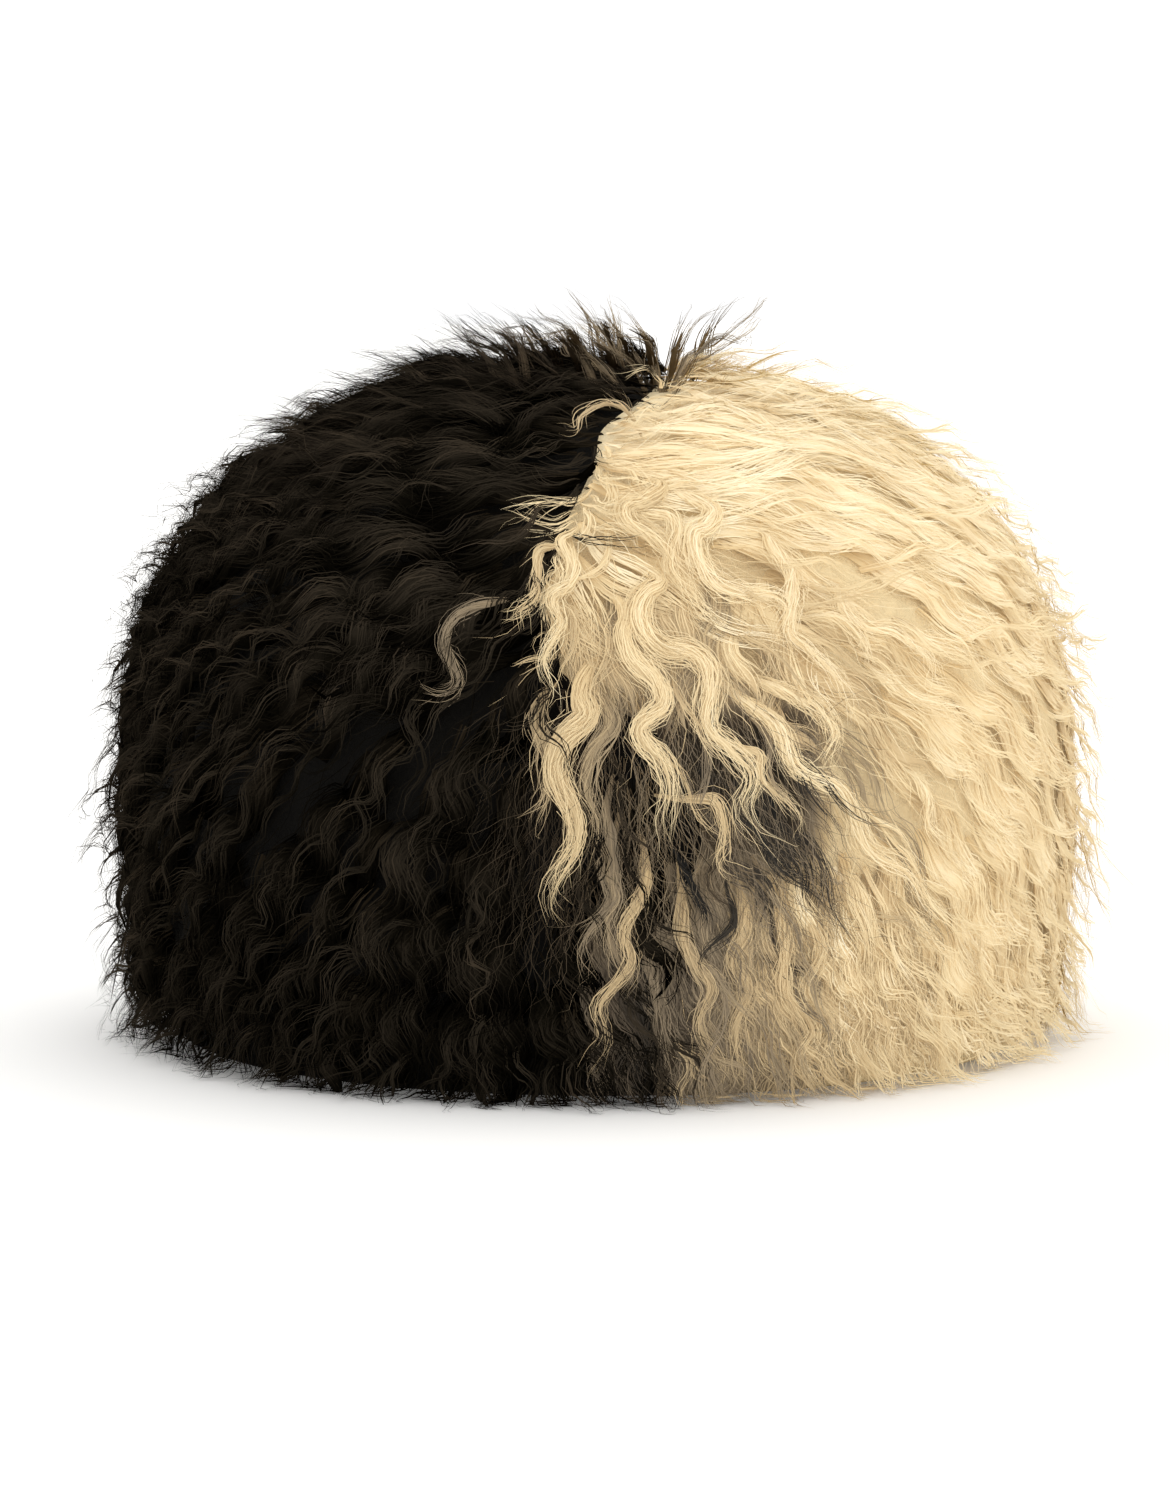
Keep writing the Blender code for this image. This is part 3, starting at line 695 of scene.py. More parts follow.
def soften(mesh, outline, share):
    """Turns the normals part of the way straight out of the hat, so that light falls as softly as on wool."""
    own = np.empty(len(mesh.vertices) * 3, np.float32)
    mesh.vertex_normals.foreach_get("vector", own)
    own = own.reshape(-1, 3)
    out = outline.outward(vertex_places(mesh))
    side = np.where(dot(own, out) < 0, -1, 1)
    mesh.normals_split_custom_set_from_vertices(unit(own * (1 - share) + out * side * share).tolist())


def grid_piece(name, outline, batches):
    """A mesh of many grids of points, each row a ring of a strand or body. Tone and share are its UV map."""
    corners, uvs, faces = [], [], []
    start = 0
    for points, tones, shares in batches:
        count, rings, across = points.shape[:3]
        corners.append(points.reshape(-1, 3))
        uvs.append(np.stack([np.clip(tones, 0.01, 0.99), 0.01 + 0.98 * shares], axis=-1).reshape(-1, 2))
        ids = start + np.arange(count * rings * across).reshape(count, rings, across)
        this, after = ids[..., :-1], ids[..., 1:]
        quads = np.stack([this[:, :-1], after[:, :-1], after[:, 1:], this[:, 1:]], axis=-1)
        faces.append(quads.reshape(-1, 4))
        start += count * rings * across
    corners, uvs, faces = np.concatenate(corners), np.concatenate(uvs), np.concatenate(faces)
    mesh = bpy.data.meshes.new(name)
    mesh.vertices.add(len(corners))
    mesh.vertices.foreach_set("co", corners.astype(np.float32).ravel())
    mesh.loops.add(faces.size)
    mesh.loops.foreach_set("vertex_index", faces.astype(np.int32).ravel())
    mesh.polygons.add(len(faces))
    mesh.polygons.foreach_set("loop_start", np.arange(0, faces.size, 4, dtype=np.int32))
    mesh.update(calc_edges=True)
    mesh.uv_layers.new(name=WOOL_UV)
    mesh.uv_layers[WOOL_UV].data.foreach_set("uv", uvs[faces.ravel()].astype(np.float32).ravel())
    mesh.shade_smooth()
    soften(mesh, outline, SOFTNESS)
    piece = bpy.data.objects.new(name, mesh)
    bpy.context.scene.collection.objects.link(piece)
    return piece


# Materials


class Socket:
    """An output socket that takes part in Python arithmetic by adding Math nodes."""

    def __init__(self, nodes, link):
        self.nodes = nodes
        self.link = link

    def math(self, operation, *values):
        return self.nodes.add("ShaderNodeMath", {"operation": operation}, *values)

    def __add__(self, other):
        return self.math("ADD", self, other)

    def __mul__(self, other):
        return self.math("MULTIPLY", self, other)

    def __sub__(self, other):
        return self.math("SUBTRACT", self, other)

    def __rsub__(self, other):
        return self.math("SUBTRACT", other, self)

    __radd__ = __add__
    __rmul__ = __mul__


class Nodes:
    """A material's node tree, with one method that adds any node."""

    def __init__(self, name):
        self.material = bpy.data.materials.new(name)
        self.material.use_nodes = True
        self.tree = self.material.node_tree
        self.shader = self.tree.nodes["Principled BSDF"]

    def add(self, kind, settings, *values, output=0, at=None, **named):
        """A node of a kind: its settings, then its sockets in order, by number or by name."""
        node = self.tree.nodes.new(kind)
        stops = settings.pop("stops", None)
        for key, value in settings.items():
            setattr(node, key, value)
        if stops:
            ramp = node.color_ramp
            ramp.elements.remove(ramp.elements[0])
            for number, (place, colour) in enumerate(stops):
                stop = ramp.elements[0] if number == 0 else ramp.elements.new(place)
                stop.position = place
                stop.color = (*colour, 1)
        sockets = [*enumerate(values), *(at or {}).items(), *named.items()]
        for key, value in sockets:
            self.set(node.inputs[key], value)
        return Socket(self, node.outputs[output])

    def mixed(self, blend, factor, first, second):
        """A colour mixed with another."""
        settings = {"data_type": "RGBA", "blend_type": blend}
        return self.add("ShaderNodeMix", settings, factor, output=2, at={6: first, 7: second})

    def set(self, socket, value):
        if isinstance(value, Socket):
            self.tree.links.new(value.link, socket)
        else:
            socket.default_value = value

    def finish(self, **values):
        """Sets the shader's sockets by name, with spaces as underscores."""
        for key, value in values.items():
            self.set(self.shader.inputs[key.replace("_", " ")], value)
        return self.material


PAINTED_ROOT_SHADE = ((0.0, (0.92, 0.85, 0.74)), (0.3, (1, 1, 1)))  # painted shade: multiplies the wool's colour along a strand, deeper at the root where the locks overlap


def wool_stops():
    """The colour of wool at each tone, from black to the palest cream."""
    colours = bpy.context.scene.papakha_colours
    return (
        (0.00, (0.0004, 0.0003, 0.0002)),
        (0.10, colours.dark_wool),
        (0.20, (0.0240, 0.0190, 0.0130)),
        (0.35, (0.0700, 0.0520, 0.0340)),
        (0.55, (0.2400, 0.1850, 0.1180)),
        (0.78, (0.5750, 0.4300, 0.2350)),
        (0.90, colours.cream_wool),
        (1.00, (0.8900, 0.7900, 0.5700)),
    )


def strand_wool(name, specular, roughness, streak):
    """Strands of wool: coloured by tone, with fine streaks along them, and a painted shade that deepens them
    towards the root.
    """
    nodes = Nodes(name)
    uv = nodes.add("ShaderNodeUVMap", {"uv_map": WOOL_UV})
    tone = nodes.add("ShaderNodeSeparateXYZ", {}, uv)
    along = nodes.add("ShaderNodeSeparateXYZ", {}, uv, output=1)
    stretched = nodes.add("ShaderNodeVectorMath", {"operation": "MULTIPLY"}, uv, (320.0, 3.0, 0.0))
    streaks = nodes.add("ShaderNodeTexNoise", {"noise_dimensions": "2D"}, stretched, Scale=1.0, Detail=2.0)
    colour = nodes.add("ShaderNodeValToRGB", {"stops": wool_stops()}, tone + (streaks - 0.5) * streak)
    shade = nodes.add("ShaderNodeValToRGB", {"stops": PAINTED_ROOT_SHADE}, along)
    colour = nodes.mixed("MULTIPLY", 1.0, colour, shade)
    return nodes.finish(Base_Color=colour, Roughness=roughness, Specular_IOR_Level=specular)


def underwool(name):
    """Packed underwool: coloured by the tone of the wool around it, with fine matted tufts."""
    nodes = Nodes(name)
    place = nodes.add("ShaderNodeTexCoord", {}, output="Object")
    tone = nodes.add("ShaderNodeAttribute", {"attribute_name": TONE}, output="Fac")
    tufts = nodes.add("ShaderNodeTexNoise", {}, place, Scale=260.0, Detail=6.0, Roughness=0.7, Distortion=1.5)
    colour = nodes.add("ShaderNodeValToRGB", {"stops": wool_stops()}, tone - 0.02 + (tufts - 0.5) * 0.12)
    bump = nodes.add("ShaderNodeBump", {}, Height=tufts, Distance=0.0008)
    return nodes.finish(Base_Color=colour, Normal=bump, Roughness=0.9, Specular_IOR_Level=0.1)


def suede(name, deep, pale):
    """The hide's flesh side: brushed suede with soft blotches and a fine nap."""
    nodes = Nodes(name)
    place = nodes.add("ShaderNodeTexCoord", {}, output="Object")
    blotches = nodes.add("ShaderNodeTexNoise", {}, place, Scale=28.0, Detail=4.0)
    nap = nodes.add("ShaderNodeTexNoise", {}, place, Scale=900.0, Detail=3.0)
    stops = ((0.35, deep), (0.65, pale))
    colour = nodes.add("ShaderNodeValToRGB", {"stops": stops}, blotches * 0.75 + nap * 0.25)
    bump = nodes.add("ShaderNodeBump", {}, Height=nap, Distance=0.0004)
    return nodes.finish(Base_Color=colour, Normal=bump, Roughness=0.92, Specular_IOR_Level=0.2)


# Where the two colours lie, in tones from 0, black, to 1, the palest cream

DARK_TONE = 0.036
CREAM_TONE = 0.89
MIXED_TONE = 0.60
WINDOW_TONE = 0.23
ROPES_REACH = 0.075  # how far across the painted shade under the ropes reaches
ROPES_TOP = 0.185  # and how high
MIXED_REACH = 0.074  # how far across the mixed wool beside the parting reaches
MIXED_TOP = 0.128  # and how high
WINDOW_FOOT = 0.072  # height above which the mixed wool is the dark window between the ropes


def tones(places, random, variety=1.0):
    """Each place's tone: dark or cream by its side of the parting, mixed low down at the front beside it,
    with painted light that makes it paler higher up and painted shade under the front ropes.
    """
    across, back, height = places[..., 0], places[..., 1], places[..., 2]
    past = past_parting(places)
    spread = variety * random.uniform(-1, 1, len(places))
    far_out = eased((np.abs(across) - 0.110) / 0.045)
    # Dark and cream wool are paler higher up: painted light from above. Dark wool is also paler far out at
    # the sides
    dark = DARK_TONE + 0.28 * height + 0.05 * far_out + 0.06 * spread**3
    # Under the front ropes the cream is deeper: painted shade cast by the ropes
    painted_rope_shade = (back < 0) * eased((ROPES_REACH - across) / 0.03) * eased((ROPES_TOP - height) / 0.03)
    cream = CREAM_TONE + 0.06 * eased((height - 0.14) / 0.06) - 0.11 * painted_rope_shade + 0.015 * spread
    tone = np.where(past > 0, cream, dark)
    beside = (back < 0) * eased(past / 0.008 + 0.5) * eased((MIXED_REACH - across) / 0.014)
    mixed = beside * eased((MIXED_TOP - height) / 0.016)
    window = mixed * eased((height - WINDOW_FOOT) / 0.012)
    tone = tone + (MIXED_TONE + 0.14 * spread - tone) * mixed
    return tone + (WINDOW_TONE + 0.12 * spread - tone) * window


CROWN_WAY = 0.625  # where on the way from front to back the parting passes over the crown
TRAIL_STEPS = 40
SHORTEST_GROWN = 0.022  # a lock that its own ground leaves shorter isn't grown
PARTED = 0.007  # how near the parting a lock counts as one of those that fall to both sides of it
PARTED_ROOT = 0.15  # how wide such a lock is at its root, as a share of its width


def parting_roots(outline, count, random):
    """Roots close along both sides of the parting, from half-way up the front over the crown and down."""
    way = np.linspace(0, 1, count // 2)
    height = 0.128 + 0.101 * np.sin(np.pi * np.clip(way / (2 * CROWN_WAY), 0, 1)) ** 0.6
    roots = []
    for side in (-1, 1):
        across = parting_across(height) + side * random.uniform(-0.001, 0.005, len(way))
        front = outline.front(across, height)
        front[:, 1] *= np.where(way < CROWN_WAY, 1, -1)
        roots.append(front)
    return outline.seat(np.concatenate(roots))


def share_on_own_ground(trails):
    """How much of each trail stays on its root's side of the parting, and in or out of the mixed wool."""
    across, back, height = trails[..., 0], trails[..., 1], trails[..., 2]
    past = past_parting(trails)
    side = np.sign(past[:, :1])
    mixed = (back < 0) & (past > -0.004) & (across < 0.066) & (height < 0.130)
    strayed = (past * side < -0.006) | (mixed != mixed[:, :1])
    first = np.where(strayed.any(axis=1), strayed.argmax(axis=1), trails.shape[1] - 1)
    return first / (trails.shape[1] - 1)


def grown_locks(outline, style, random):
    """The locks spread over all of the hat, and those close along both sides of its parting."""
    spread = outline.spread_roots(style.locks, -0.34, 1.12, 0.35, random)
    parted = parting_roots(outline, style.parting_locks, random)
    roots = np.concatenate([spread, parted])
    count = len(roots)
    length = random.uniform(style.shortest, style.longest, count)
    room = np.maximum(roots[:, 2], 0) * 1.08 + random.uniform(0.004, 0.014, count)
    length = np.minimum(length, np.maximum(room, 0.018))
    lean = random.normal(0, 0.11, count)
    outer = np.sign(past_parting(parted)) * np.sign(outline.lie(parted)[1][:, 0])
    lean[len(spread):] = outer * random.uniform(0.2, 0.8, len(parted))
    length = length * share_on_own_ground(outline.trails(roots, length, lean, TRAIL_STEPS))
    grown = length > SHORTEST_GROWN
    roots, length, lean = roots[grown], length[grown], lean[grown]
    count = len(roots)
    trails = outline.trails(roots, length, lean, TRAIL_STEPS)
    # Waves that are nearly in step with their neighbours' and change slowly over the hat
    field = 9 * np.sin(roots[:, 0] * 31 + 1.3) + 7 * np.cos(roots[:, 2] * 43 + roots[:, 1] * 17)
    size = random.uniform(0, 1, count)
    parted = np.abs(past_parting(roots)) < PARTED
    cream = past_parting(roots) > 0
    calm = np.where(cream, 0.4 + 0.35 * eased((0.18 - roots[:, 2]) / 0.06), 1.1)
    return Locks(
        trails,
        random,
        width=(style.narrowest + (style.widest - style.narrowest) * size) * np.where(parted, 0.8, 1),
        wave=style.wave * random.uniform(0.96, 1.04, count) * np.where(cream, 1.25, 1),
        swing=style.swing * calm * random.uniform(0.8, 1.3, count),
        phase=field * 0.3 + random.uniform(-0.4, 0.4, count),
        curl=random.uniform(-0.006, 0.006, count),
        stand=random.uniform(0.003, 0.013, count) * np.where(cream, 0.25, 1),
        depth=random.uniform(0.005, 0.009, count) * np.where(parted, 0.15, np.where(cream, 0.6, 1)),
        height=random.uniform(-0.002, 0.0005, count) * np.where(cream, 0.4, 1) + np.where(parted, 0.0015, 0),
        drift=np.where(cream, 0.0025, 0.004),
        bounce=np.where(cream, 0.25, 0.5),
        root=np.where(parted, PARTED_ROOT, 0.5),
        puff=np.where(cream, 0.4, 1.1),
        # painted highlight on the wave tops, painted shade in the troughs
        gleam=np.where(cream, 0.035, 0.075),
        tone=tones(roots, random),
    )


def hung_locks(outline, row, random):
    """Locks that hang straight down at the front, in mixed tones."""
    count, start, end, low_root, high_root, low_tip, high_tip, near_tone, far_tone = row
    share = np.linspace(0, 1, TRAIL_STEPS)
    across = np.linspace(start, end, count) + random.uniform(-0.004, 0.004, count)
    root_height = random.uniform(low_root, high_root, count)
    tip_height = random.uniform(low_tip, high_tip, count)
    tip_across = across + random.uniform(-0.002, 0.010, count)
    places = across[:, None] + (tip_across - across)[:, None] * share
    heights = root_height[:, None] + (tip_height - root_height)[:, None] * share
    hung = Locks(
        outline.front(places, heights),
        random,
        width=(0.006, 0.012),
        wave=(0.034, 0.042),
        swing=(0.0018, 0.0034),
        phase=(-1.2, 1.2),
        curl=(-0.004, 0.004),
        stand=(0.0, 0.004),
        depth=0.010,
        height=(-0.001, 0.002),
        bounce=0.4,
        root=0.25,
        puff=0.9,
        # painted highlight on the wave tops, painted shade in the troughs
        gleam=0.05,
    )
    hung.phase += across * 160
    far = eased((across - 0.004) / 0.060)
    hung.tone = near_tone + (far_tone - near_tone) * far + random.uniform(-0.12, 0.09, count)
    return hung


def hem_locks(outline, count, random):
    """Short locks all round whose tips curl onto the floor."""
    turn = np.linspace(0, 2 * math.pi, count, endpoint=False) + random.uniform(-0.02, 0.02, count)
    roots = outline.rim_roots(turn, random.uniform(0.024, 0.046, count))
    length = roots[:, 2] + random.uniform(0.010, 0.024, count)
    hem = Locks(
        outline.trails(roots, length, random.normal(0, 0.15, count), 30),
        random,
        width=(0.009, 0.017),
        wave=(0.034, 0.042),
        swing=(0.002, 0.004),
        curl=(-0.008, 0.008),
        stand=(0.001, 0.006),
        depth=0.009,
        height=-0.0005,
        bounce=0.5,
        root=0.3,
        puff=0.8,
        # painted highlight on the wave tops, painted shade in the troughs
        gleam=0.03,
    )
    hem.tone = tones(roots, random)
    return hem


def dressed(piece, slot, material, *nodes):
    """Gives a piece its material and its body, and hides the solids that it stands for; its slot is not used.
    """
    piece.data.materials.clear()
    piece.data.materials.append(material)
    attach(piece, BODY)
    if nodes:
        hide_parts(*nodes)
    return piece


def strand_material(colour):
    """The material of a colour's strands, made when it is first asked for."""
    name = f"{colour}_wool_strands"
    return bpy.data.materials.get(name) or strand_wool(name, *STRAND_FINISHES[colour])


class PAPAKHA_OT_hides(bpy.types.Operator):
    """Finishes the two halves of the hide in suede"""

    bl_idname = "papakha.hides"
    bl_label = "Hides"

    def execute(self, context):
        colours = context.scene.papakha_colours
        for node, deep, pale in (
            ("dark_hide", colours.dark_hide_deep, colours.dark_hide_pale),
            ("cream_hide", colours.cream_hide_deep, colours.cream_hide_pale),
        ):
            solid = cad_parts[node]
            solid.data.materials.clear()
            solid.data.materials.append(suede(f"{node}_suede", deep, pale))
        return {"FINISHED"}


CORE_STEPS = 168
CORE_FOOT = (
    # The hem's underside, from outside in: share of the width, height
    (0.925, 0.007),
    (0.918, 0.0025),
    (0.90, 0.0012),
    (0.75, 0.0012),
    (0.66, 0.0012),
    (0.655, 0.006),
)


def turned_core(name, outline, under):
    """A vertex extruded down the core's profile and spun round, then stretched to the wool's oval."""
    profile = []
    for turn in np.linspace(0, math.pi / 2, 48):
        share = math.sin(turn) ** (2 / outline.power)
        rise = math.cos(turn) ** (2 / outline.power)
        profile.append((share, outline.widest + rise * (outline.rise - under)))
    for height in np.linspace(outline.widest, 0.014, 14)[1:]:
        drawn_in = 0.010 * eased((0.050 - height) / 0.040)
        profile.append((float(outline.width_share(height) - drawn_in), height))
    profile += CORE_FOOT
    bpy.ops.object.select_all(action="DESELECT")
    bpy.ops.mesh.primitive_plane_add(size=0.01, location=(0, 0, profile[0][1]))
    core = bpy.context.object
    core.name = core.data.name = name
    bpy.ops.object.mode_set(mode="EDIT")
    bpy.ops.mesh.select_mode(type="VERT")
    bpy.ops.mesh.merge(type="CENTER")
    for (share, height), (next_share, next_height) in zip(profile, profile[1:]):
        move = (next_share - share, 0, next_height - height)
        bpy.ops.mesh.extrude_region_move(TRANSFORM_OT_translate={"value": move})
    bpy.ops.mesh.select_all(action="SELECT")
    bpy.ops.mesh.spin(steps=CORE_STEPS, angle=2 * math.pi, center=(0, 0, 0), axis=(0, 0, 1))
    bpy.ops.mesh.select_all(action="SELECT")
    bpy.ops.mesh.remove_doubles(threshold=1e-5)
    bpy.ops.mesh.select_all(action="SELECT")
    stretch = (outline.half_width - under, outline.half_length - under, 1)
    bpy.ops.transform.resize(value=stretch, center_override=(0, 0, 0))
    bpy.ops.mesh.normals_make_consistent(inside=False)
    bpy.ops.object.mode_set(mode="OBJECT")
    bpy.ops.object.transform_apply()
    bpy.ops.object.shade_smooth()
    return core


def keep_side(core, side, overlap):
    """Deletes the faces past the parting, and draws the cut edge onto a line that runs along it."""
    mesh = core.data

    def beyond(places):
        """Which places lie past the parting by more than the overlap."""
        return past_parting(places) * side < -overlap

    bpy.ops.object.mode_set(mode="EDIT")
    bpy.ops.mesh.select_mode(type="FACE")
    bpy.ops.mesh.select_all(action="DESELECT")
    bpy.ops.object.mode_set(mode="OBJECT")
    cut = beyond(vertex_places(mesh))
    for face in mesh.polygons:
        face.select = all(cut[corner] for corner in face.vertices)
    bpy.ops.object.mode_set(mode="EDIT")
    bpy.ops.mesh.delete(type="FACE")
    bpy.ops.object.mode_set(mode="OBJECT")
    places = vertex_places(mesh)
    cut = beyond(places)
    places[cut, 0] = parting_across(places[cut, 2]) - side * overlap
    mesh.vertices.foreach_set("co", places.astype(np.float32).ravel())
    mesh.update()


class PAPAKHA_OT_underwool(bpy.types.Operator):
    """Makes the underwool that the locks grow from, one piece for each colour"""

    bl_idname = "papakha.underwool"
    bl_label = "Underwool"

    def execute(self, context):
        outline = Outline(context.scene.papakha_shape)
        wool = underwool("packed_underwool")
        for name, slot, side, under, overlap in (
            ("dark_underwool", "dark_fleece", -1, 0.0045, 0.012),
            ("cream_underwool", "cream_fleece", 1, 0.0030, 0.001),
        ):
            core = turned_core(name, outline, under)
            keep_side(core, side, overlap)
            # Tones are read a little inside the cut edge, so that it keeps the colour of its own side
            places = vertex_places(core.data) + np.array([0.003, 0, 0]) * side
            tone = core.data.attributes.new(TONE, "FLOAT", "POINT")
            tone.data.foreach_set("value", tones(places, np.random.default_rng(0), 0.2).astype(np.float32))
            dressed(core, slot, wool)
        return {"FINISHED"}


BODY_RINGS = 14
BARE_TONE = 0.7  # cream locks darker than this are mixed wool, which shows no bodies
BARE_HEIGHT = 0.19  # below it the cream locks along the parting show none either


class PAPAKHA_OT_locks(bpy.types.Operator):
    """Makes the wavy locks all over the hat, those round its hem and those that hang at the front"""

    bl_idname = "papakha.locks"
    bl_label = "Locks"

    def execute(self, context):
        outline = Outline(context.scene.papakha_shape)
        style = context.scene.papakha_wool
        random = np.random.default_rng(style.seed)
        locks = grown_locks(outline, style, random)
        frizz = StrandKind(
            style.frizz, 6, style.strand_width * 0.5, start=(0.1, 0.75), reach=(0.15, 0.30), fan=(0.8, 1.2),
            crimp=(0.0003, 0.0010), crimp_wave=(0.016, 0.028), drift=1.6,
        )
        root = locks.trails[:, 0]
        cream = past_parting(root) > 0
        turn = np.degrees(np.arctan2(root[:, 1], np.abs(root[:, 0])))
        for colour, of_colour in (("dark", ~cream), ("cream", cream)):
            slot = f"{colour}_fleece"
            thickness, crimp, painted_ridge_light = LOCK_STRANDS[colour]
            for place, start, end, fullness in LOCK_PLACES:
                width = style.strand_width / fullness**0.5 * thickness
                wool = StrandKind(
                    round(style.strands * fullness), style.rings, width, reach=(0.72, 1.0), fan=(0.3, 1.08),
                    crimp=crimp, crimp_wave=(0.014, 0.024), painted_ridge_light=painted_ridge_light,
                )
                part = locks.chosen(of_colour & (turn >= start) & (turn < end))
                grids = [strands(outline, part, wool, random), strands(outline, part, frizz, random)]
                apart = (part.root > PARTED_ROOT) | (part.trails[:, 0, 2] > BARE_HEIGHT)
                full = (part.tone > BARE_TONE) & apart | (colour == "dark")
                grids.append(bodies(outline, part.chosen(full), BODY_RINGS, random))
                piece = grid_piece(f"{colour}_{place}_locks", outline, grids)
                dressed(piece, slot, strand_material(colour), slot)

        hem = hem_locks(outline, style.hem_locks, random)
        cream = past_parting(hem.trails[:, 0]) > 0
        wool = StrandKind(
            9, 12, style.strand_width * 1.4, reach=(0.75, 1.0), fan=(0.3, 1.08), crimp=(0.0003, 0.0010),
            crimp_wave=(0.012, 0.020),
        )
        for colour, of_colour in (("dark", ~cream), ("cream", cream)):
            grids = [strands(outline, hem.chosen(of_colour), wool, random)]
            piece = grid_piece(f"{colour}_hem_locks", outline, grids)
            dressed(piece, f"{colour}_fleece", strand_material(colour))

        wool = StrandKind(
            15, 18, style.strand_width, reach=(0.72, 1.0), fan=(0.4, 1.08), crimp=(0.0003, 0.0008),
            # painted highlight along each lock's middle, painted shade at its sides
            crimp_wave=(0.014, 0.024), painted_ridge_light=0.12,
        )
        grids = []
        for row in HUNG:
            hung = hung_locks(outline, row, random)
            grids.append(bodies(outline, hung, BODY_RINGS, random))
            grids.append(strands(outline, hung, wool, random))
            grids.append(strands(outline, hung, frizz, random))
        dressed(grid_piece("cream_hung_locks", outline, grids), "cream_fleece", strand_material("cream"))
        return {"FINISHED"}


ROPE_WIDTH = 0.68  # how wide a rope's lock is, as a share of the table's width, which its strands fan out to
ROPE_DEPTH = 0.07  # how much deeper in tone the ropes are than the table's tones


class PAPAKHA_OT_ropes(bpy.types.Operator):
    """Makes the ropes of cream wool that fall over the parting at the front"""

    bl_idname = "papakha.ropes"
    bl_label = "Front ropes"

    def execute(self, context):
        outline = Outline(context.scene.papakha_shape)
        style = context.scene.papakha_wool
        random = np.random.default_rng(style.seed + ROPE_SEED)
        batches = []
        for count, width, rise, tone, path in ROPES:
            line = smooth_line(np.array(path) / 1000, 90)
            rope = Locks(
                outline.front(line[:, 0], line[:, 1])[None],
                random,
                width=width / 1000 * ROPE_WIDTH,
                swing=0.0006,
                stand=0.003,
                depth=0.010,
                height=rise / 1000,
                bounce=0.35,
                root=0.2,
                tone=tone - ROPE_DEPTH,
            )
            rings = 10 + 3 * len(path)
            thick = StrandKind(
                count, rings, style.strand_width * 0.75, reach=(0.7, 1.0), fan=(0.3, 1.2),
                # painted highlight along each rope's middle, painted shade at its sides
                crimp=(0.0002, 0.0008), painted_ridge_light=0.09,
            )
            loose = StrandKind(
                round(count * 1.3), 8, style.strand_width * 0.4, start=(0.0, 0.75), reach=(0.15, 0.35),
                fan=(0.7, 1.9), crimp=(0.0004, 0.0016), drift=1.8,
            )
            batches.append(bodies(outline, rope, rings, random, 0.85))
            batches.append(strands(outline, rope, thick, random))
            batches.append(strands(outline, rope, loose, random))
        dressed(grid_piece("front_ropes", outline, batches), "cream_fleece", strand_material("cream"))
        return {"FINISHED"}


HAIR = StrandKind(1, 7, 0.00020)
CURLY_HAIR = StrandKind(1, 11, 0.00016)
WISP_CORE = StrandKind(1, 11, 0.0010, reach=(0.8, 0.8), drift=0.0)
WISP = StrandKind(7, 12, 0.00032, reach=(0.75, 1.0), fan=(0.2, 1.1), crimp=(0.0002, 0.0007))
TUFT_CORE = StrandKind(1, 9, 0.0016, reach=(0.6, 0.6), drift=0.0)
TUFT = StrandKind(15, 12, 0.00030, reach=(0.6, 1.0), fan=(0.1, 1.1), crimp=(0.0002, 0.0008))


def loose_hairs(outline, count, random):
    """Fine loose hairs all over the hat."""
    roots = outline.spread_roots(count, -0.42, 1.0, 0.5, random)
    length = np.minimum(random.uniform(0.016, 0.036, count), np.maximum(roots[:, 2], 0) + 0.006)
    hairs = Locks(
        outline.trails(roots, length, random.normal(0, 0.4, count), 14),
        random,
        wave=(0.020, 0.034),
        swing=(0.0005, 0.0016),
        curl=(-0.006, 0.006),
        stand=(0.001, 0.010),
        rise=1.5,
        height=(-0.001, 0.004),
    )
    hairs.tone = tones(roots, random)
    return hairs


def window_hairs(outline, count, random):
    """Fine curly hairs in the dark gap between the front ropes, paler than the wool behind them."""
    roots = outline.front(random.uniform(-0.032, 0.066, count), random.uniform(0.060, 0.130, count))
    hairs = Locks(
        outline.trails(roots, random.uniform(0.018, 0.042, count), random.normal(0, 0.35, count), 20),
        random,
        wave=(0.014, 0.026),
        swing=(0.0006, 0.0016),
        curl=(-0.005, 0.005),
        stand=(0.000, 0.006),
        rise=1.5,
        height=(0.000, 0.005),
    )
    hairs.tone = 0.15 + 0.30 * eased((roots[:, 0] + 0.03) / 0.05) + random.uniform(-0.06, 0.10, count)
    return hairs


def wisps(outline, style, random):
    """Thin curved tufts that stand off the outline, more of them at the hem and over the crown."""
    turn = np.linspace(0, 2 * math.pi, style.hem_wisps, endpoint=False)
    rim = outline.rim_roots(turn, random.uniform(0.014, 0.034, style.hem_wisps))
    over = np.linspace(-0.35, math.pi + 0.35, style.crest_wisps)
    crest = np.stack([np.cos(over), random.uniform(-0.36, 0.16, style.crest_wisps), np.sin(over)], axis=-1)
    crest = [0, 0, outline.widest] + crest * [outline.half_width, outline.half_length, outline.rise]
    spread = outline.spread_roots(style.wisps, -0.36, 1.0, 0.5, random)
    roots = np.concatenate([spread, rim, outline.seat(crest)])
    count = len(roots)
    length = np.minimum(random.uniform(0.034, 0.066, count), np.maximum(roots[:, 2], 0) + 0.006)
    thin = Locks(
        outline.trails(roots, length, random.normal(0, 0.35, count), 30),
        random,
        width=(0.0025, 0.0060),
        wave=(0.028, 0.044),
        swing=(0.0010, 0.0024),
        curl=(-0.007, 0.007),
        stand=(0.009, 0.022),
        rise=1.3,
        depth=0.002,
        drift=0.002,
        bounce=0.9,
        root=0.8,
        # painted highlight on the wave tops, painted shade in the troughs
        gleam=0.03,
    )
    cream = past_parting(roots) > 0
    thin.width *= np.where(cream, 1, 1.5)
    thin.wave *= np.where(cream, 1, 0.8)
    thin.swing *= np.where(cream, 1, 1.6)
    # Painted backlight: dark wisps are paler, as if lit through, and cream ones deeper, as if seen against
    # the light
    thin.tone = tones(roots, random) + np.where(cream, -0.02, 0.08)
    return thin


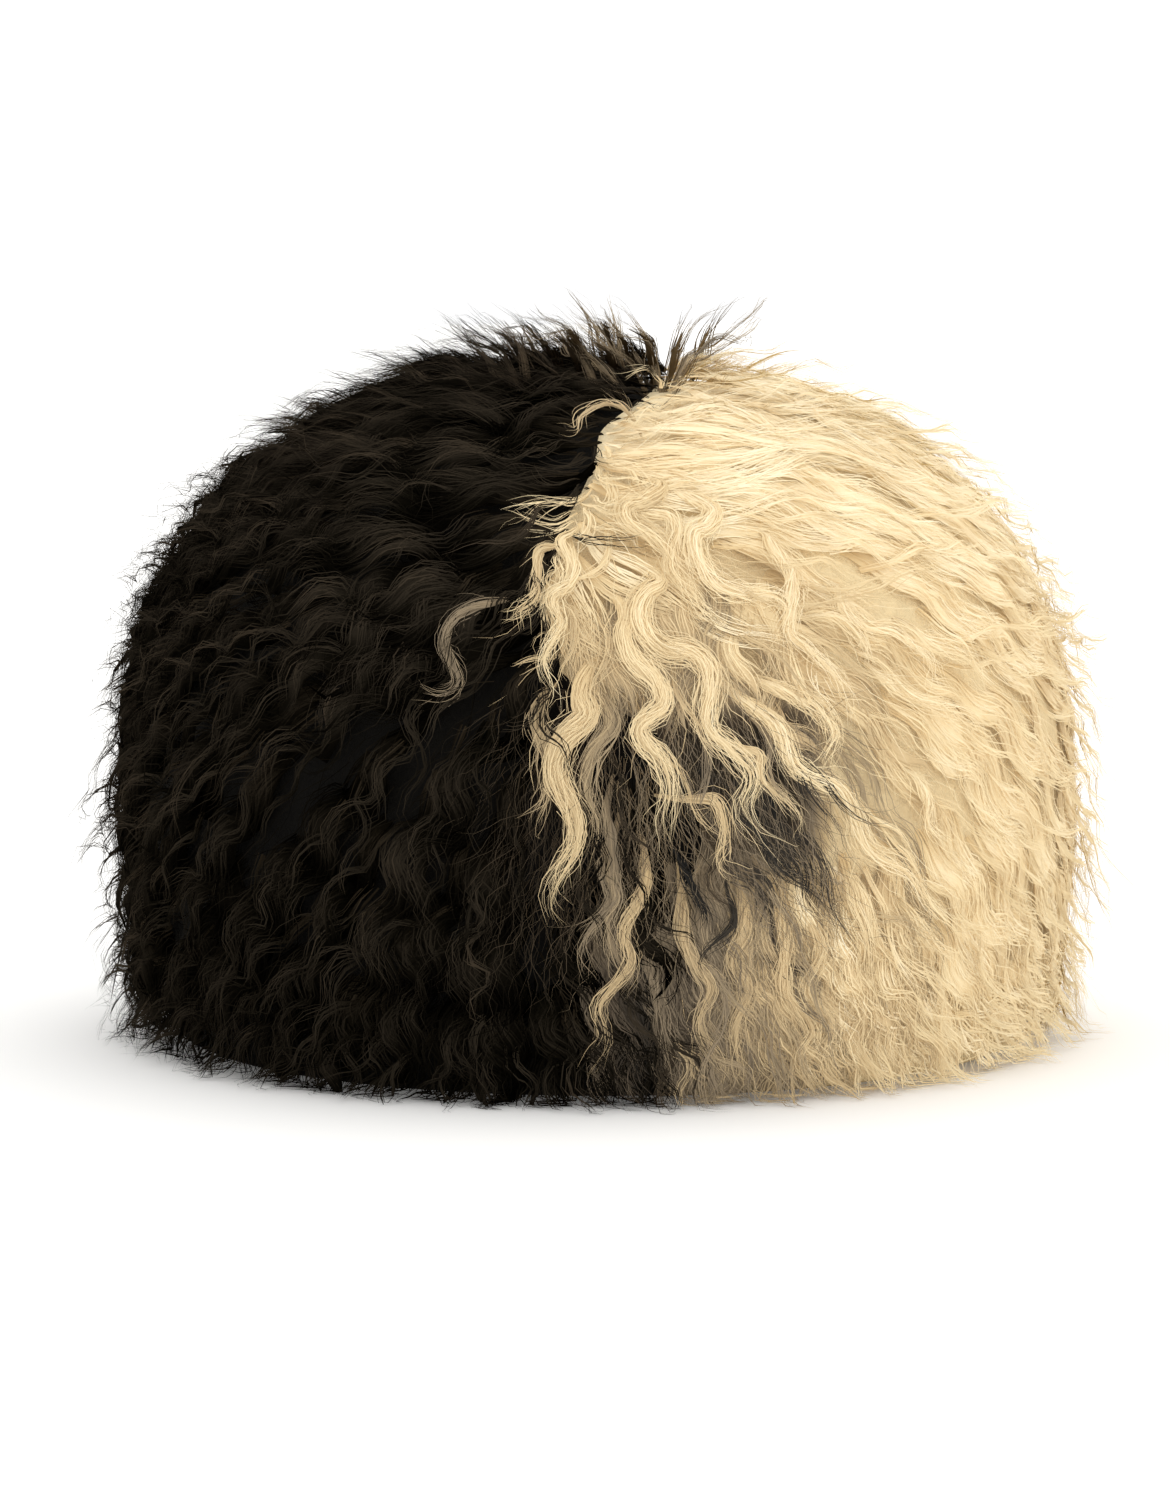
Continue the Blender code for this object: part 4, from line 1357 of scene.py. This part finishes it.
def crown_tufts(outline, count, random):
    """Curved dark tufts that stand up on the crown and fall away to the side that they grow on."""
    across = -0.105 + 0.131 * np.linspace(0, 1, count) ** 0.85 + random.uniform(-0.005, 0.005, count)
    upright = eased((across + 0.06) / 0.05)
    back = random.uniform(-0.085 + 0.025 * upright, 0.035)
    roots = np.array([outline.over(x, y) for x, y in zip(across, back)])
    length = random.uniform(0.030, 0.050, count) - 0.014 * upright
    lean = random.normal(0, 0.35, count) + random.uniform(-1, 1, count) * upright
    tufts = Locks(
        outline.trails(roots, length, lean, 30),
        random,
        width=(0.004, 0.009),
        wave=(0.022, 0.034),
        swing=(0.0018, 0.0040),
        curl=(-0.008, 0.008),
        stand=(0.010, 0.020),
        rise=1.2 - 0.5 * upright,
        depth=0.004,
        drift=0.002,
        root=0.9,
        # painted highlight on the wave tops, painted shade in the troughs
        gleam=0.03,
    )
    tufts.stand += random.uniform(0.002, 0.012, count) * upright
    tufts.tone = 0.18 + 0.34 * eased((across + 0.04) / 0.06) + random.uniform(-0.05, 0.08, count)
    return tufts


def parting_wisps(outline, count, random):
    """Wisps without a core that stray over the parting from both sides."""
    roots = parting_roots(outline, count, random)
    count = len(roots)
    stray = Locks(
        outline.trails(roots, random.uniform(0.016, 0.034, count), random.normal(0, 0.4, count), 30),
        random,
        width=(0.002, 0.006),
        wave=(0.016, 0.030),
        swing=(0.0014, 0.0030),
        curl=(-0.008, 0.008),
        stand=(0.002, 0.010),
        rise=2,
        depth=0.002,
        height=0.002,
        drift=0.004,
    )
    stray.tone = np.clip(tones(roots, random), 0.18, 0.88)
    return stray


class PAPAKHA_OT_fuzz(bpy.types.Operator):
    """Makes the loose hairs, wisps and tufts that soften the outline, one piece for each colour"""

    bl_idname = "papakha.fuzz"
    bl_label = "Fuzz"

    def execute(self, context):
        outline = Outline(context.scene.papakha_shape)
        style = context.scene.papakha_wool
        random = np.random.default_rng(style.seed + FUZZ_SEED)
        stray = wisps(outline, style, random)
        tufts = crown_tufts(outline, style.crown_tufts, np.random.default_rng(style.seed + TUFT_SEED))
        batches = (
            (loose_hairs(outline, style.fuzz, random), HAIR),
            (window_hairs(outline, style.window_hairs, random), CURLY_HAIR),
            (stray, WISP_CORE),
            (stray, WISP),
            (tufts, TUFT_CORE),
            (tufts, TUFT),
            (parting_wisps(outline, style.parting_wisps, random), WISP),
        )
        for colour, side in (("dark", -1), ("cream", 1)):
            grids = []
            for batch, kind in batches:
                mine = past_parting(batch.trails[:, 0]) * side > 0
                grids.append(strands(outline, batch.chosen(mine), kind, random))
            piece = grid_piece(f"{colour}_fuzz", outline, grids)
            dressed(piece, f"{colour}_fleece", strand_material(colour))
        return {"FINISHED"}


class PAPAKHA_OT_stage(bpy.types.Operator):
    """Sets up the pale floor, the soft lights and the camera"""

    bl_idname = "papakha.stage"
    bl_label = "Stage"

    def execute(self, context):
        style = context.scene.papakha_stage
        bpy.ops.object.select_all(action="DESELECT")
        bpy.ops.mesh.primitive_circle_add(vertices=96, radius=9, fill_type="NGON")
        floor = context.object
        floor.name = "floor"
        pale = (*context.scene.papakha_colours.floor, 1)
        paper = Nodes("floor_paper").finish(Base_Color=pale, Roughness=0.9, Specular_IOR_Level=0.1)
        floor.data.materials.append(paper)

        world = bpy.data.worlds.new("white_room")
        world.use_nodes = True
        background = world.node_tree.nodes["Background"]
        background.inputs["Color"].default_value = (1, 1, 1, 1)
        background.inputs["Strength"].default_value = style.sky
        context.scene.world = world

        for name, strength, angle, shadows, way in (
            ("key", style.key, 70, True, (0.10, 0.25, 1.20)),
            ("fill", style.fill, 10, False, (0.60, -0.90, 0.45)),
        ):
            bpy.ops.object.light_add(type="SUN", location=way)
            light = context.object
            light.name = name
            light.data.energy = strength
            light.data.angle = math.radians(angle)
            light.data.use_shadow = shadows
            light.rotation_euler = Vector(way).to_track_quat("Z", "Y").to_euler()

        bpy.ops.object.camera_add()
        camera = context.object
        camera.name = "camera"
        camera.data.lens = style.lens
        camera.data.sensor_fit = "AUTO"
        camera.data.sensor_width = 36
        aim = Vector(style.aim)
        back = Vector((0, -math.cos(style.elevation), math.sin(style.elevation)))
        camera.location = aim + back * style.distance
        camera.rotation_euler = back.to_track_quat("Z", "Y").to_euler()
        context.scene.camera = camera
        context.scene.view_settings.view_transform = "Standard"
        return {"FINISHED"}


STEPS = (
    PAPAKHA_OT_hides,
    PAPAKHA_OT_underwool,
    PAPAKHA_OT_locks,
    PAPAKHA_OT_ropes,
    PAPAKHA_OT_fuzz,
    PAPAKHA_OT_stage,
)


class PAPAKHA_PT_panel(bpy.types.Panel):
    """The hat's operators and settings"""

    bl_label = "Papakha"
    bl_idname = "PAPAKHA_PT_panel"
    bl_space_type = "VIEW_3D"
    bl_region_type = "UI"
    bl_category = "Papakha"

    def draw(self, context):
        for step in STEPS:
            self.layout.operator(step.bl_idname)


SETTINGS = {
    "papakha_shape": HatShape,
    "papakha_wool": WoolStyle,
    "papakha_colours": Colours,
    "papakha_stage": StageStyle,
}
CLASSES = (*SETTINGS.values(), *STEPS, PAPAKHA_PT_panel)


def register():
    for cls in CLASSES:
        bpy.utils.register_class(cls)
    for name, cls in SETTINGS.items():
        setattr(bpy.types.Scene, name, bpy.props.PointerProperty(type=cls))


def unregister():
    for name in SETTINGS:
        delattr(bpy.types.Scene, name)
    for cls in reversed(CLASSES):
        bpy.utils.unregister_class(cls)


def main():
    register()
    for step in STEPS:
        family, action = step.bl_idname.split(".")
        getattr(getattr(bpy.ops, family), action)()


if __name__ == "__main__":
    main()
